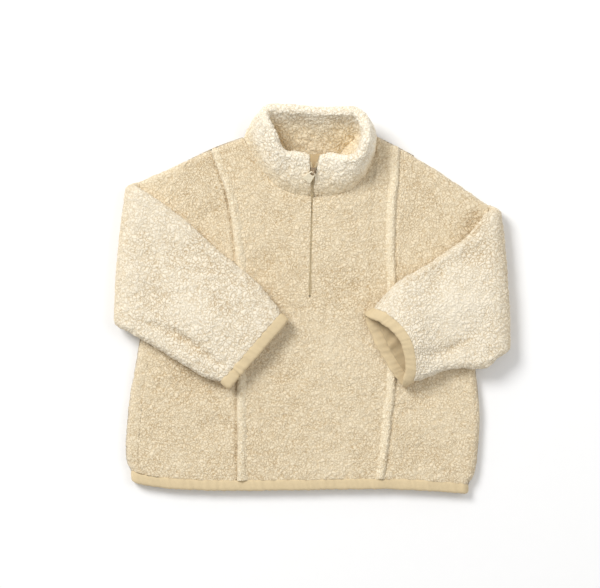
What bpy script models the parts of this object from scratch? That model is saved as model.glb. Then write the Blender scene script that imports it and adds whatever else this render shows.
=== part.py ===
"""Child's sherpa fleece pullover with a half zip, lying on its back with both sleeves folded over the front.

Metres, +Z up. The garment rests on the plane z = 0 with its collar towards +Y. Left and right are as seen
from above. The named sizes and the tables hold millimetres.
"""

import math
from bisect import bisect
from collections import namedtuple

import bmesh
import bpy
from mathutils import Matrix, Vector

MM = 0.001

# Cloth. The body's front and back lie on each other, and its folded edges are half round.
FLEECE = 6.0
BODY_HALF = 7.5
SEAM_GAP = 0.3
ARMHOLE_GAP = 0.7
LINING = 1.0
SHARP_ANGLE = 50.0

# Sides of the body and the armholes above them: rows of (y, x), bottom to top.
LEFT_SIDE = (
    (-193.5, -195), (-188, -198.5), (-177, -203), (-165, -204.5), (-121, -201.5), (-77, -194.5), (-33, -186),
)
RIGHT_SIDE = (
    (-201, 172), (-196, 176), (-188, 179), (-165, 182), (-130, 184), (-90, 181), (-45, 174),
)
LEFT_ARMHOLE = ((-33, -186), (0, -176), (45, -168), (97, -159), (120, -153), (153, -136))
RIGHT_ARMHOLE = ((-45, 174), (-20, 167), (20, 155), (71, 142), (97, 138), (121, 131), (157.4, 112))

# Bottom and top of the body: rows of (x, y). Each shoulder runs on along the sleeve as far as the fold.
HEM = (
    (-198, -187), (-187, -190.5), (-170, -193.5), (-113, -197),
    (-13, -196.6), (64, -195.5), (119, -197), (172, -201),
)
LEFT_SHOULDER = ((-189, 130), (-156, 143.5), (-107, 166.5), (-76, 178))
RIGHT_SHOULDER = ((71, 179), (108, 160), (141, 140), (174, 116), (193, 104))
NECK_FRONT = (
    (-76, 178), (-62, 154), (-48, 134), (-30, 120), (-13, 114.5), (0, 113),
    (16, 113.5), (38, 118), (51, 129), (58, 138), (67, 159), (71, 179),
)
NECK_BACK = ((-76, 178), (-57, 178.5), (-35, 178), (0, 177.4), (35, 178), (55, 179.5), (71, 179))
HEM_BAND_LEFT, HEM_BAND_RIGHT = -197.5, 171.5
HEM_BAND_STEPS = 20
EDGE_POINTS = 40

# Shares of the height at which the panels have their rows, below the zip's foot and beside the zip, and
# angles of the rows that round a folded edge, which are spread by up to ROUNDING_STRETCH on a slope.
ROW_SHARES = (0, 0.035, 0.09, 0.18, 0.34, 0.51, 0.68, 0.85, 1)
ROW_SHARES_BY_ZIP = (0.2, 0.4, 0.6, 0.8, 1.0)
ROUNDING = (0, 22.5, 45, 67.5, 90)
ROUNDING_STRETCH = 1.6
HALVINGS = 40

# Shares of the width at which the panels have their columns.
SIDE_COLUMNS_LEFT = (0, 0.06, 0.2, 0.4, 0.7, 1)
SIDE_COLUMNS_RIGHT = (0, 0.25, 0.5, 0.75)
CENTRE_COLUMNS_LEFT = (0, 0.14, 0.272, 0.38, 0.52, 0.68, 0.84, 1)
CENTRE_COLUMNS_RIGHT = (0, 0.16, 0.32, 0.46, 0.58, 0.68, 0.774, 0.88, 1)
BACK_COLUMNS = (0.12, 0.25, 0.37, 0.5, 0.62, 0.74, 0.86)
WRAP_COLUMNS = (1, 0.72, 0.5, 0.32, 0.16, 0.05)

# Seams down the front: rows of (y, x).
LEFT_SEAM = (
    (-200, -76), (-160, -75.5), (-90, -76.5), (-20, -76), (39, -77.5),
    (63, -79.6), (98, -84), (123, -90), (147, -99), (167, -106),
)
RIGHT_SEAM = (
    (-202, 73), (-152, 79.8), (-129, 81.7), (-101, 85.8), (-35, 88), (33, 86.4),
    (55, 85.3), (79, 85.8), (109, 87), (131, 89.7), (171, 91),
)
# The back panel comes round the left edge: rows of (y, how far in from the edge its side seam lies).
SIDE_SEAM_IN = ((-195, 13), (-150, 15), (-100, 15), (-58, 12), (-33, 0.6))

# Raised lap over each front seam: rows of (in from the crisp outer edge, height above the panel).
LAP_PROFILE = ((0, 0), (0.4, 2.2), (2.2, 3.3), (5.0, 3.0), (8.0, 1.8), (10.0, 0))
LAP_ROWS_SHORT = 2

# Zip: its lowest point, its line across the front and its slot. Tapes: rows of (y, width) under the front
# panel, shares of the way up the collar at which they have their rows there, and the heights they lie at.
ZIP_LOW = 3.0
ZIP_X = -2.2
ZIP_LEAN = 0.0227
ZIP_SLOT = 3.0
TAPE_ROWS = ((4, 6.0), (55, 6.0), (103, 6.0), (107, 1.2), (110, 1.2))
TAPE_SHARES = (0.08, 0.3, 0.5, 0.65, 0.76, 0.84, 0.92, 0.98)
TAPE_NARROW = 1.2
TAPE_CLEAR = 0.5
TAPE_LOW, TAPE_HIGH = 7.7, 8.7
TAPE_BELOW_FACE = 2.0

# Bands that bind the cuffs and the hem: rows of (ahead of the fleece edge, out from the fleece surface).
CUFF_PROFILE = (
    (0.6, -5.8), (0.6, -1.6), (2.0, -0.5), (10.6, -0.5), (12.6, -1.6), (13.2, -3.4), (12.4, -5.4), (10.0, -5.8),
)
HEM_PROFILE = (
    (0.7, -5.8), (0.7, -0.9), (1.8, 0.0), (9.8, 0.0), (11.9, -1.0), (12.5, -3.0), (11.7, -5.2), (9.6, -5.8),
)

# Sleeves. A station is one flattened ring: its two folded ends in plan, how high its underside lies, how
# thick it is at mid-width, and how far the cuff edge of each layer stands back from the line of its ends.
Station = namedtuple("Station", "top_x top_y low_x low_y underside thick upper_back lower_back")
LEFT_UPPER = (
    Station(-136.3, 152.7, -186.4, -33.0, 0, 15, 0, 0),
    Station(-163, 140.6, -195, -31, 0, 15, 0, 0),
    Station(-189, 129.5, -203, -25, 0, 15, 0, 0),
)
LEFT_FOREARM = (
    Station(-186, 121, -200, -36, 16.0, 15.0, 0, 0),
    Station(-163, 105, -186, -44, 16.2, 15.6, 0, 0),
    Station(-137, 86, -170, -53, 16.5, 15.9, 0, 0),
    Station(-111, 61, -151, -65, 17.6, 15.9, 0, 0),
    Station(-84, 39, -134, -75, 19.4, 15.9, 0, 0),
    Station(-57, 16, -117, -85, 19.6, 15.9, 0, 0),
    Station(-34, -13, -101, -90, 19.6, 15.6, 0, 0),
)
RIGHT_UPPER = (
    Station(112.3, 157.2, 174.4, -45.0, 0, 15, 0, 0),
    Station(152, 131.5, 188, -49, 0, 15, 0, 0),
    Station(192, 104.2, 202, -52, 0, 15, 0, 0),
)
RIGHT_FOREARM = (
    Station(190, 95, 202, -65, 16.0, 15.0, 0, 0),
    Station(172, 72, 190, -75, 16.2, 15.8, 0, 0),
    Station(150, 55, 168, -75.5, 16.5, 16.2, 0, 0),
    Station(131, 42, 150, -77, 17.2, 16.8, 0, 0),
    Station(112, 30, 137, -81, 18.8, 18.5, 3, 0),
    Station(92, 18, 125, -86, 19.8, 22.5, 10, -2),
    Station(68, -8, 112, -90, 20.2, 27.0, 19, -5),
)
UPPER_STEPS = (0.5, 1.0, 2.0)
FOREARM_STEPS = 12
LAYER_STEPS = 10
END_ARC = (60, 30, 0, -30, -60)
BELLY_POWER = 0.8

# The fold of a sleeve: its radius, how far it bows out at mid-width, and the angles of its rings.
FOLD_RADIUS = 8.0
FOLD_BOW = 3.0
FOLD_ANGLES = (25, 50, 75, 105, 130, 155)

# Lining of the open cuff: the station it starts from, how far short of the edge it ends, and its rings.
CUFF_LINING_FROM = 3.4
CUFF_LINING_SHORT = 0.03
CUFF_LINING_STEPS = 5

# Collar. A rib is one section of the middle of its wall, from the neck seam (base) to the rim, and how much
# further in than that wall the foot of its inner layer falls.
Rib = namedtuple("Rib", "base_x base_y base_z rim_x rim_y rim_z in_x in_y in_z")
COLLAR = (
    Rib(-1.1, 115.0, 13.0, -2.3, 152, 34, 0, 0, 0),
    Rib(-15, 116.9, 13.0, -14, 155.5, 36, 0, 0, 0),
    Rib(-31, 123.4, 13.0, -28, 156, 38, 3, 3, 0),
    Rib(-46.6, 138.4, 13.0, -37, 164, 41, 11, 6, -1),
    Rib(-59.2, 156, 13.0, -43, 179, 44, 21, 0, -2),
    Rib(-67.5, 177, 12.4, -51, 196, 43, 24, -7, -2),
    Rib(-56, 181.5, 7.4, -47, 206, 40, 18, -13, -0.5),
    Rib(-28, 178.0, 7.0, -24, 206.5, 38, 6, -15, -0.5),
    Rib(2, 177.3, 7.0, 3, 204, 37, 0, -16, -0.5),
    Rib(28, 178.0, 7.0, 28, 203.5, 38, -5, -15, -0.5),
    Rib(52, 182.0, 7.4, 48, 203, 42, -12, -13, -0.5),
    Rib(63.6, 177.5, 12.4, 59, 187, 47, -19, -5, -2),
    Rib(60.9, 157.5, 13.2, 58, 169, 48, -19, 0, -2),
    Rib(50.9, 136.2, 13.4, 51, 156, 45, -10, 6, -1),
    Rib(36, 121.3, 13.0, 36, 151, 39, -3, 3, 0),
    Rib(17, 116.4, 13.0, 20, 154.5, 36, 0, 0, 0),
    Rib(1.9, 115.0, 13.0, 7.8, 152, 34, 0, 0, 0),
)
# Thickness of the wall at its base and rim, how late its two ends part, how far it bulges at mid-height, how
# fast its inner layer falls in, and how far along its base the neck seam lies.
COLLAR_BASE = 9.0
COLLAR_RIM = 12.0
COLLAR_GAPE = 3.0
COLLAR_PUFF = 3.0
COLLAR_FALL = 1.3
COLLAR_SEAM = 0.85
COLLAR_SHARES = (0, 0.3, 0.6, 0.86)
COLLAR_RIM_ANGLES = (0, 35, 70, 110, 145, 180)
COLLAR_NEAR = 0.3
RINGS_BY_RIB = 3

# Facing inside the back of the neck, a half ellipse cut off at FACING_LEAST: its top, how far down it comes,
# and how far above the floor it lies.
FACING_HALF_WIDTH = 50.0
FACING_LEAST = 4.0
FACING_TOP = 173.5
FACING_DROP = 44.0
FACING_LOW = 6.3
FACING_ANGLES = (90, 75, 60, 45, 30, 15, 0)
FACING_STEPS = 6

# Slider: how far up the collar's front edge it stands, its plate, its bridge, and the keel between the tapes.
SLIDER_SHARE = 0.76
SLIDER_CLEAR = 0.4
SLIDER_LONG, SLIDER_WIDE, SLIDER_NARROW, SLIDER_THICK = 10.0, 5.4, 4.2, 1.4
BRIDGE_LONG, BRIDGE_RISE, BRIDGE_RADIUS = 5.8, 2.8, 0.5
BRIDGE_SIDES, BRIDGE_BENDS = 8, 8
KEEL_LONG, KEEL_WIDE, KEEL_DEEP = 7.0, 1.6, 1.4

# Pull tab, from its bar: its length, widths, thickness, hole, and how it lies on the collar.
TAB_LONG, TAB_NARROW, TAB_WIDE, TAB_THICK = 13.0, 6.4, 11.0, 1.2
TAB_BAR = 1.2
TAB_HOLE_LONG, TAB_HOLE_WIDE = 2.6, 4.2
TAB_CORNER, TAB_HOLE_CORNER = 0.65, 0.45
TAB_EDGE = 0.25
TAB_BAR_Y = -0.45
TAB_SKEW = -36.0
TAB_DIP = 1.0

COLOURS = {
    "fleece": ((0.80, 0.72, 0.54), 0.95, 0.0),
    "band": ((0.70, 0.58, 0.36), 0.85, 0.0),
    "lining": ((0.47, 0.37, 0.24), 0.80, 0.0),
    "tape": ((0.62, 0.52, 0.34), 0.85, 0.0),
    "metal": ((0.55, 0.44, 0.30), 0.35, 1.0),
    "tab": ((0.83, 0.77, 0.62), 0.40, 0.0),
}


# Helpers


def clear_scene():
    for obj in list(bpy.data.objects):
        bpy.data.objects.remove(obj)


def new_collection(name):
    made = bpy.data.collections.new(name)
    bpy.context.scene.collection.children.link(made)
    return made


def material(name):
    made = bpy.data.materials.get(name)
    if made:
        return made
    made = bpy.data.materials.new(name)
    made.use_nodes = True
    colour, roughness, metallic = COLOURS[name]
    shader = made.node_tree.nodes["Principled BSDF"]
    shader.inputs["Base Color"].default_value = (*colour, 1.0)
    shader.inputs["Roughness"].default_value = roughness
    shader.inputs["Metallic"].default_value = metallic
    return made


def metres(x, y, z):
    return Vector((x, y, z)) * MM


def blend(a, b, t):
    return a + (b - a) * t


def even(count):
    return [k / count for k in range(count + 1)]


def through(rows, at):
    """Value at a position on the smooth curve through rows of (position, value)."""
    places = [row[0] for row in rows]
    values = [row[1] for row in rows]
    last = len(rows) - 1
    at = min(max(at, places[0]), places[-1])
    k = min(max(bisect(places, at) - 1, 0), last - 1)

    def slope(i):
        before, after = max(i - 1, 0), min(i + 1, last)
        return (values[after] - values[before]) / (places[after] - places[before])

    span = places[k + 1] - places[k]
    t = (at - places[k]) / span
    start = values[k] * (1 + 2 * t) * (1 - t) ** 2 + slope(k) * span * t * (1 - t) ** 2
    end = values[k + 1] * (3 - 2 * t) * t * t - slope(k + 1) * span * t * t * (1 - t)
    return start + end


def smooth_row(rows, t):
    """The row at t on the smooth curve through a table's rows, which stand at 0, 1, 2 and so on."""
    columns = zip(*rows)
    return type(rows[0])(*(through(list(enumerate(column)), t) for column in columns))


def link(name, mesh, kind):
    obj = bpy.data.objects.new(name, mesh)
    obj.data.materials.append(material(kind))
    bpy.data.collections["pullover"].objects.link(obj)
    mesh.shade_smooth()
    mesh.set_sharp_from_angle(angle=math.radians(SHARP_ANGLE))
    return obj


def finished(name, shape, kind):
    """The object of a closed shape, its faces turned outwards."""
    bmesh.ops.recalc_face_normals(shape, faces=shape.faces)
    if shape.calc_volume(signed=True) < 0:
        bmesh.ops.reverse_faces(shape, faces=shape.faces)
    mesh = bpy.data.meshes.new(name)
    shape.to_mesh(mesh)
    shape.free()
    return link(name, mesh, kind)


def cloth(name, outer, inner, kind, left_out=(), closed=False):
    """A wall between two like grids of points, with a rim where the grid ends.

    left_out holds the (column, row) of each cell with no cloth. A closed grid's last column meets its first.
    """
    shape = bmesh.new()
    skins = [[[shape.verts.new(point) for point in row] for row in grid] for grid in (outer, inner)]
    partner = {}
    for outer_row, inner_row in zip(*skins):
        partner.update(zip(outer_row, inner_row))
    across = len(outer[0])
    for j in range(len(outer) - 1):
        for i in range(across if closed else across - 1):
            if (i, j) in left_out:
                continue
            n = (i + 1) % across
            for skin in skins:
                shape.faces.new((skin[j][i], skin[j][n], skin[j + 1][n], skin[j + 1][i]))
    rim = [edge for edge in shape.edges if edge.is_boundary and edge.verts[0] in partner]
    for edge in rim:
        start, end = edge.verts
        shape.faces.new((start, end, partner[end], partner[start]))
    loose = [vert for vert in shape.verts if not vert.link_faces]
    bmesh.ops.delete(shape, geom=loose, context="VERTS")
    return finished(name, shape, kind)


def loft(name, rings, kind, looped=False):
    """A solid through rings of points, its last ring joined to its first where looped, and else capped."""
    shape = bmesh.new()
    grid = [[shape.verts.new(point) for point in ring] for ring in rings]
    around = len(rings[0])
    for j in range(len(rings) if looped else len(rings) - 1):
        after = grid[(j + 1) % len(rings)]
        for i in range(around):
            n = (i + 1) % around
            shape.faces.new((grid[j][i], grid[j][n], after[n], after[i]))
    if not looped:
        shape.faces.new(grid[0])
        shape.faces.new(grid[-1])
    return finished(name, shape, kind)


# Body


def left_edge(y):
    return through(LEFT_SIDE + LEFT_ARMHOLE[1:], y)


def right_edge(y):
    return through(RIGHT_SIDE + RIGHT_ARMHOLE[1:], y)


def zip_x(y):
    return ZIP_X + ZIP_LEAN * y


def top_of(neck, x):
    """Where the body ends at x: the shoulder seam, or the neckline between the shoulders."""
    if x < neck[0][0]:
        return through(LEFT_SHOULDER, x)
    if x > neck[-1][0]:
        return through(RIGHT_SHOULDER, x)
    return through(neck, x)


def sampled(rows):
    low, high = rows[0][0], rows[-1][0]
    places = [blend(low, high, share) for share in even(EDGE_POINTS)]
    return [(place, through(rows, place)) for place in places]


def folded_edges():
    """Lines in plan where the cloth folds from front to back, each with the cloth on its right-hand side."""
    left = [(x, y) for y, x in sampled(LEFT_SIDE)]
    right = [(x, y) for y, x in sampled(RIGHT_SIDE)]
    left.append((LEFT_UPPER[-1].low_x, LEFT_UPPER[-1].low_y))
    right.append((RIGHT_UPPER[-1].low_x, RIGHT_UPPER[-1].low_y))
    return [left, right[::-1], sampled(LEFT_SHOULDER), sampled(RIGHT_SHOULDER)]


EDGES = folded_edges()


def nearest_edge(x, y):
    """Distance in plan to the nearest folded edge, up to BODY_HALF, and the direction from it into the cloth."""
    nearest, inward = BODY_HALF, (0.0, 0.0)
    for line in EDGES:
        for (ax, ay), (bx, by) in zip(line, line[1:]):
            along_x, along_y = bx - ax, by - ay
            length = math.hypot(along_x, along_y)
            share = ((x - ax) * along_x + (y - ay) * along_y) / length**2
            share = min(max(share, 0.0), 1.0)
            distance = math.hypot(x - ax - share * along_x, y - ay - share * along_y)
            if distance < nearest:
                nearest, inward = distance, (along_y / length, -along_x / length)
    return nearest, inward


def body_point(x, y, side, out=0.0):
    """A point of the body's outer face, moved out along its normal. side is 1 on the front, -1 on the back."""
    distance, inward = nearest_edge(x, y)
    half_gap = SEAM_GAP / 2
    level = 1 - max(distance - half_gap, 0.0) / (BODY_HALF - half_gap)
    steep = math.sqrt(1 - level**2)
    height = max((BODY_HALF + out) * steep, half_gap)
    shift = -out * level
    return metres(x + inward[0] * shift, y + inward[1] * shift, BODY_HALF + side * height)


def rounding_steps():
    """How far in from a folded edge each row of its rounding lies, from the edge inwards."""
    return [BODY_HALF * (1 - math.cos(math.radians(angle))) for angle in ROUNDING]


def column(x_at, neck):
    """The (x, y) points of one column of a panel, from the hem to the shoulder or neckline."""
    bottom = through(HEM, x_at(HEM[0][1]))
    low, high = bottom, LEFT_SHOULDER[-1][1] + BODY_HALF
    for _ in range(HALVINGS):
        middle = (low + high) / 2
        if top_of(neck, x_at(middle)) > middle:
            low = middle
        else:
            high = middle
    slope = (top_of(neck, x_at(low) + 1) - top_of(neck, x_at(low) - 1)) / 2
    stretch = min(math.hypot(1, slope), ROUNDING_STRETCH)
    steps = rounding_steps()[::-1]
    rounded = low - steps[0] * stretch
    by_zip = ZIP_LOW
    heights = [blend(bottom, by_zip, share) for share in ROW_SHARES]
    heights += [blend(by_zip, rounded, share) for share in ROW_SHARES_BY_ZIP]
    heights += [low - step * stretch for step in steps[1:]]
    return [(x_at(y), y) for y in heights]


def grid_of(columns, side, out=0.0):
    return [[body_point(x, y, side, out) for x, y in row] for row in zip(*columns)]


def panel(name, columns, side, left_out=()):
    return cloth(name, grid_of(columns, side), grid_of(columns, side, -FLEECE), "fleece", left_out)


def offset(bound, by):
    return lambda y: bound(y) + by


def across(left, right, share):
    return lambda y: blend(left(y), right(y), share)


def left_seam(y):
    return through(LEFT_SEAM, y)


def right_seam(y):
    return through(RIGHT_SEAM, y)


def left_side_seam(y):
    """Edge of the left front panel: the side seam on the front, and above it the armhole."""
    return left_edge(y) + through(SIDE_SEAM_IN, y)


def front_side_panels():
    half = SEAM_GAP / 2
    left, right = offset(left_side_seam, half), offset(left_seam, -half)
    bounds = [across(left, right, share) for share in SIDE_COLUMNS_LEFT]
    panel("front_side_panel_left", [column(bound, NECK_FRONT) for bound in bounds], 1)
    left = offset(right_seam, half)
    inmost = offset(right_edge, -BODY_HALF)
    bounds = [across(left, inmost, share) for share in SIDE_COLUMNS_RIGHT]
    bounds += [offset(right_edge, -step) for step in reversed(rounding_steps())]
    panel("front_side_panel_right", [column(bound, NECK_FRONT) for bound in bounds], 1)


def front_centre_panel():
    left, right = offset(left_seam, SEAM_GAP / 2), offset(zip_x, -ZIP_SLOT / 2)
    bounds = [across(left, right, share) for share in CENTRE_COLUMNS_LEFT]
    slot_column = len(bounds) - 1
    left, right = offset(zip_x, ZIP_SLOT / 2), offset(right_seam, -SEAM_GAP / 2)
    bounds += [across(left, right, share) for share in CENTRE_COLUMNS_RIGHT]
    columns = [column(bound, NECK_FRONT) for bound in bounds]
    slot = {(slot_column, row) for row in range(len(ROW_SHARES) - 1, len(columns[0]))}
    panel("front_centre_panel", columns, 1, slot)


def back_panel():
    """The back lies on the floor, rounds up at its sides, and comes over the left edge to the side seam."""
    steps = rounding_steps()
    bounds = [offset(left_edge, step) for step in steps]
    inner_left, inner_right = offset(left_edge, BODY_HALF), offset(right_edge, -BODY_HALF)
    bounds += [across(inner_left, inner_right, share) for share in BACK_COLUMNS]
    bounds += [offset(right_edge, -step) for step in reversed(steps)]
    columns = [column(bound, NECK_BACK) for bound in bounds]
    wrapped = [across(left_edge, offset(left_side_seam, -SEAM_GAP / 2), share) for share in WRAP_COLUMNS]
    over = [column(bound, NECK_FRONT) for bound in wrapped]
    grids = []
    for out in (0.0, -FLEECE):
        pairs = zip(grid_of(over, 1, out), grid_of(columns, -1, out))
        grids.append([front + back for front, back in pairs])
    above_seam = [j for j, (_, y) in enumerate(columns[0]) if y > SIDE_SEAM_IN[-1][0]]
    unused = {(i, j) for i in range(len(wrapped)) for j in above_seam}
    cloth("back_panel", *grids, "fleece", unused)


def lapped_seam(name, seam, outer):
    """The raised lap over a front seam. outer is the side of its crisp edge, -1 for the left."""
    half_width = LAP_PROFILE[-1][0] / 2
    bounds = [offset(seam, outer * (half_width - reach)) for reach, _ in LAP_PROFILE]
    columns = [column(bound, NECK_FRONT) for bound in bounds]
    rings = []
    for row in zip(*columns):
        heights = [height for _, height in LAP_PROFILE]
        rings.append([body_point(x, y, 1, SEAM_GAP + height) for (x, y), height in zip(row, heights)])
    loft(name, rings[:-LAP_ROWS_SHORT], "fleece")


# Sleeves


def fold_outward(last):
    """The direction in plan in which a sleeve's fold bulges, away from the body."""
    fold = Vector((last.low_x - last.top_x, last.low_y - last.top_y, 0)).normalized()
    outward = Vector((-fold.y, fold.x, 0))
    return outward if outward.x * last.top_x > 0 else -outward


def station_ring(station, turn, outward, inset, lift=0.0, armhole=None):
    """One flattened ring of a sleeve: down its inner layer, round the low end, and back up its outer layer.

    turn is how far the sleeve has gone round its fold, in radians. inset is the depth under its outer face.
    """
    top = Vector((station.top_x, station.top_y, 0))
    low = Vector((station.low_x, station.low_y, 0))
    length = (low - top).length
    down = (low - top) / length
    inner = Vector((0, 0, math.cos(turn))) - outward * math.sin(turn)
    cuffward = Vector((down.y, -down.x, 0))
    if cuffward.dot(outward) > 0:
        cuffward.negate()
    radius = BODY_HALF - inset
    bulge = station.thick - 2 * BODY_HALF
    ring = []

    def place(along, height):
        share = along / length
        belly = math.sin(math.pi * min(max(share, 0.0), 1.0)) ** BELLY_POWER
        at = top + down * along
        if armhole:
            at.x = armhole(at.y)
        at += Vector((0, 0, station.underside + BODY_HALF + lift)) + inner * height
        at += outward * (FOLD_BOW * belly * abs(math.sin(turn)))
        if turn >= math.pi:
            upper = height < 0
            at.z += bulge * belly if upper else 0.0
            back = station.upper_back if upper else station.lower_back
            at -= cuffward * back * belly * min(abs(height) / radius, 1.0)
        ring.append(at * MM)

    straight = length - 2 * BODY_HALF
    for share in even(LAYER_STEPS):
        place(BODY_HALF + straight * share, radius)
    for angle in END_ARC:
        a = math.radians(angle)
        place(length - BODY_HALF + radius * math.cos(a), radius * math.sin(a))
    for share in reversed(even(LAYER_STEPS)):
        place(BODY_HALF + straight * share, -radius)
    for angle in reversed(END_ARC):
        a = math.radians(angle)
        place(BODY_HALF - radius * math.cos(a), radius * math.sin(a))
    return ring


def forearm_ring(forearm, outward, t, inset):
    return station_ring(smooth_row(forearm, t), math.pi, outward, inset)


def sleeve_rings(upper, forearm, armhole, inset):
    """Rings from the armhole out to the fold, round it, and back along the forearm to the cuff."""
    last = upper[-1]
    outward = fold_outward(last)
    seam = offset(armhole, math.copysign(ARMHOLE_GAP, last.top_x))
    rings = [station_ring(upper[0], 0, outward, inset, armhole=seam)]
    for t in UPPER_STEPS:
        rings.append(station_ring(smooth_row(upper, t), 0, outward, inset))
    for angle in FOLD_ANGLES:
        turn = math.radians(angle)
        mid = Station(*(blend(a, b, angle / 180) for a, b in zip(last, forearm[0])))
        shift = outward * (FOLD_RADIUS * math.sin(turn))
        mid = mid._replace(
            top_x=mid.top_x + shift.x,
            top_y=mid.top_y + shift.y,
            low_x=mid.low_x + shift.x,
            low_y=mid.low_y + shift.y,
            underside=0,
        )
        rings.append(station_ring(mid, turn, outward, inset, lift=FOLD_RADIUS * (1 - math.cos(turn))))
    for share in even(FOREARM_STEPS):
        rings.append(forearm_ring(forearm, outward, share * (len(forearm) - 1), inset))
    return rings


def sleeve(name, upper, forearm, armhole):
    outer = sleeve_rings(upper, forearm, armhole, 0.0)
    inner = sleeve_rings(upper, forearm, armhole, FLEECE)
    cloth(name, outer, inner, "fleece", closed=True)


def band(name, ring, inner, aheads, profile):
    """A binding round an opening: a profile swept along the fleece's edge ring, ahead of it by its rows."""
    rings = []
    for point, under, ahead in zip(ring, inner, aheads):
        out = (point - under).normalized()
        rings.append([point + (ahead * reach + out * rise) * MM for reach, rise in profile])
    loft(name, rings, "band", looped=True)


def cuff_band(name, upper, forearm):
    outward = fold_outward(upper[-1])
    end = len(forearm) - 1
    ring = forearm_ring(forearm, outward, end, 0.0)
    inner = forearm_ring(forearm, outward, end, FLEECE)
    before = forearm_ring(forearm, outward, end - 0.5, 0.0)
    aheads = []
    for k, point in enumerate(ring):
        along = ring[(k + 1) % len(ring)] - ring[k - 1]
        ahead = along.cross(point - inner[k]).normalized()
        aheads.append(ahead if ahead.dot(point - before[k]) > 0 else -ahead)
    band(name, ring, inner, aheads, CUFF_PROFILE)


def cuff_lining(name, upper, forearm):
    """The smooth tube inside the open cuff."""
    outward = fold_outward(upper[-1])
    end = len(forearm) - 1
    short = end - CUFF_LINING_SHORT
    places = [blend(CUFF_LINING_FROM, short, share) for share in even(CUFF_LINING_STEPS)]
    outside, inside = FLEECE + SEAM_GAP, FLEECE + SEAM_GAP + LINING
    outer = [forearm_ring(forearm, outward, t, outside) for t in places]
    inner = [forearm_ring(forearm, outward, t, inside) for t in places]
    cloth(name, outer, inner, "lining", closed=True)


def hem_band():
    """The binding runs once round the body, along its front and back at the hem."""
    left, right = HEM_BAND_LEFT + BODY_HALF, HEM_BAND_RIGHT - BODY_HALF
    half_turn = ROUNDING[::-1] + tuple(-angle for angle in ROUNDING[1:])
    turns = [(right, angle) for angle in half_turn]
    turns += [(blend(right, left, share), -90) for share in even(HEM_BAND_STEPS)[1:]]
    turns += [(left, angle - 180) for angle in half_turn[1:]]
    turns += [(blend(left, right, share), 90) for share in even(HEM_BAND_STEPS)[1:-1]]
    rings = []
    for radius in (BODY_HALF, BODY_HALF - FLEECE):
        ring = []
        for x, angle in turns:
            a = math.radians(angle)
            y = through(HEM, x + BODY_HALF * math.cos(a))
            ring.append(metres(x + radius * math.cos(a), y, BODY_HALF + radius * math.sin(a)))
        rings.append(ring)
    band("hem_band", *rings, [Vector((0, -1, 0))] * len(turns), HEM_PROFILE)


# Collar and neck


def collar_centre(t, share):
    """Middle of the collar's wall at t round the neck, share of the way up. Its ends part towards the rim."""
    rib = smooth_row(COLLAR, t)
    by_zip = max(0.0, 1 - min(t, len(COLLAR) - 1 - t))
    parted = share ** blend(1.0, COLLAR_GAPE, by_zip)
    return Vector((
        blend(rib.base_x, rib.rim_x, parted),
        blend(rib.base_y, rib.rim_y, share),
        blend(rib.base_z, rib.rim_z, share),
    ))


def collar_section(t, share):
    """Centre of the collar's wall, its upward and outward directions, and half its thickness."""
    last = len(COLLAR) - 1
    along = collar_centre(min(t + COLLAR_NEAR, last), share) - collar_centre(max(t - COLLAR_NEAR, 0), share)
    up = (collar_centre(t, 1) - collar_centre(t, 0)).normalized()
    out = up.cross(along).normalized()
    centre = collar_centre(t, share) + out * (COLLAR_PUFF * math.sin(math.pi * share))
    return centre, up, out, blend(COLLAR_BASE, COLLAR_RIM, share) / 2


def collar_ring(t):
    """One section of the collar: up its outer face, over the rim, down its inner face, and to the neck seam."""
    rib = smooth_row(COLLAR, t)
    fall = Vector((rib.in_x, rib.in_y, rib.in_z))
    outer, inner = [], []
    for share in COLLAR_SHARES:
        centre, _, out, half = collar_section(t, share)
        outer.append(centre + out * half)
        inner.append(centre - out * half + fall * (1 - share) ** COLLAR_FALL)
    centre, up, out, half = collar_section(t, 1)
    rim = []
    for angle in COLLAR_RIM_ANGLES:
        a = math.radians(angle)
        rim.append(centre + (out * math.cos(a) + up * math.sin(a)) * half)
    seam = outer[0].lerp(inner[0] - fall, COLLAR_SEAM)
    return [point * MM for point in outer + rim + inner[::-1] + [seam]]


def collar():
    steps = (len(COLLAR) - 1) * RINGS_BY_RIB
    loft("collar", [collar_ring(k / RINGS_BY_RIB) for k in range(steps + 1)], "fleece")


def neck_lining():
    """The facing inside the back of the neck, a flat shield under the collar's seam."""
    grids = []
    for z in (FACING_LOW + LINING, FACING_LOW):
        grid = []
        for angle in FACING_ANGLES:
            a = math.radians(angle)
            half = max(FACING_HALF_WIDTH * math.cos(a), FACING_LEAST)
            y = FACING_TOP - FACING_DROP * math.sin(a)
            grid.append([metres(half * (2 * share - 1), y, z) for share in even(FACING_STEPS)])
        grids.append(grid)
    cloth("neck_lining", *grids, "lining")


# Zip


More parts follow.
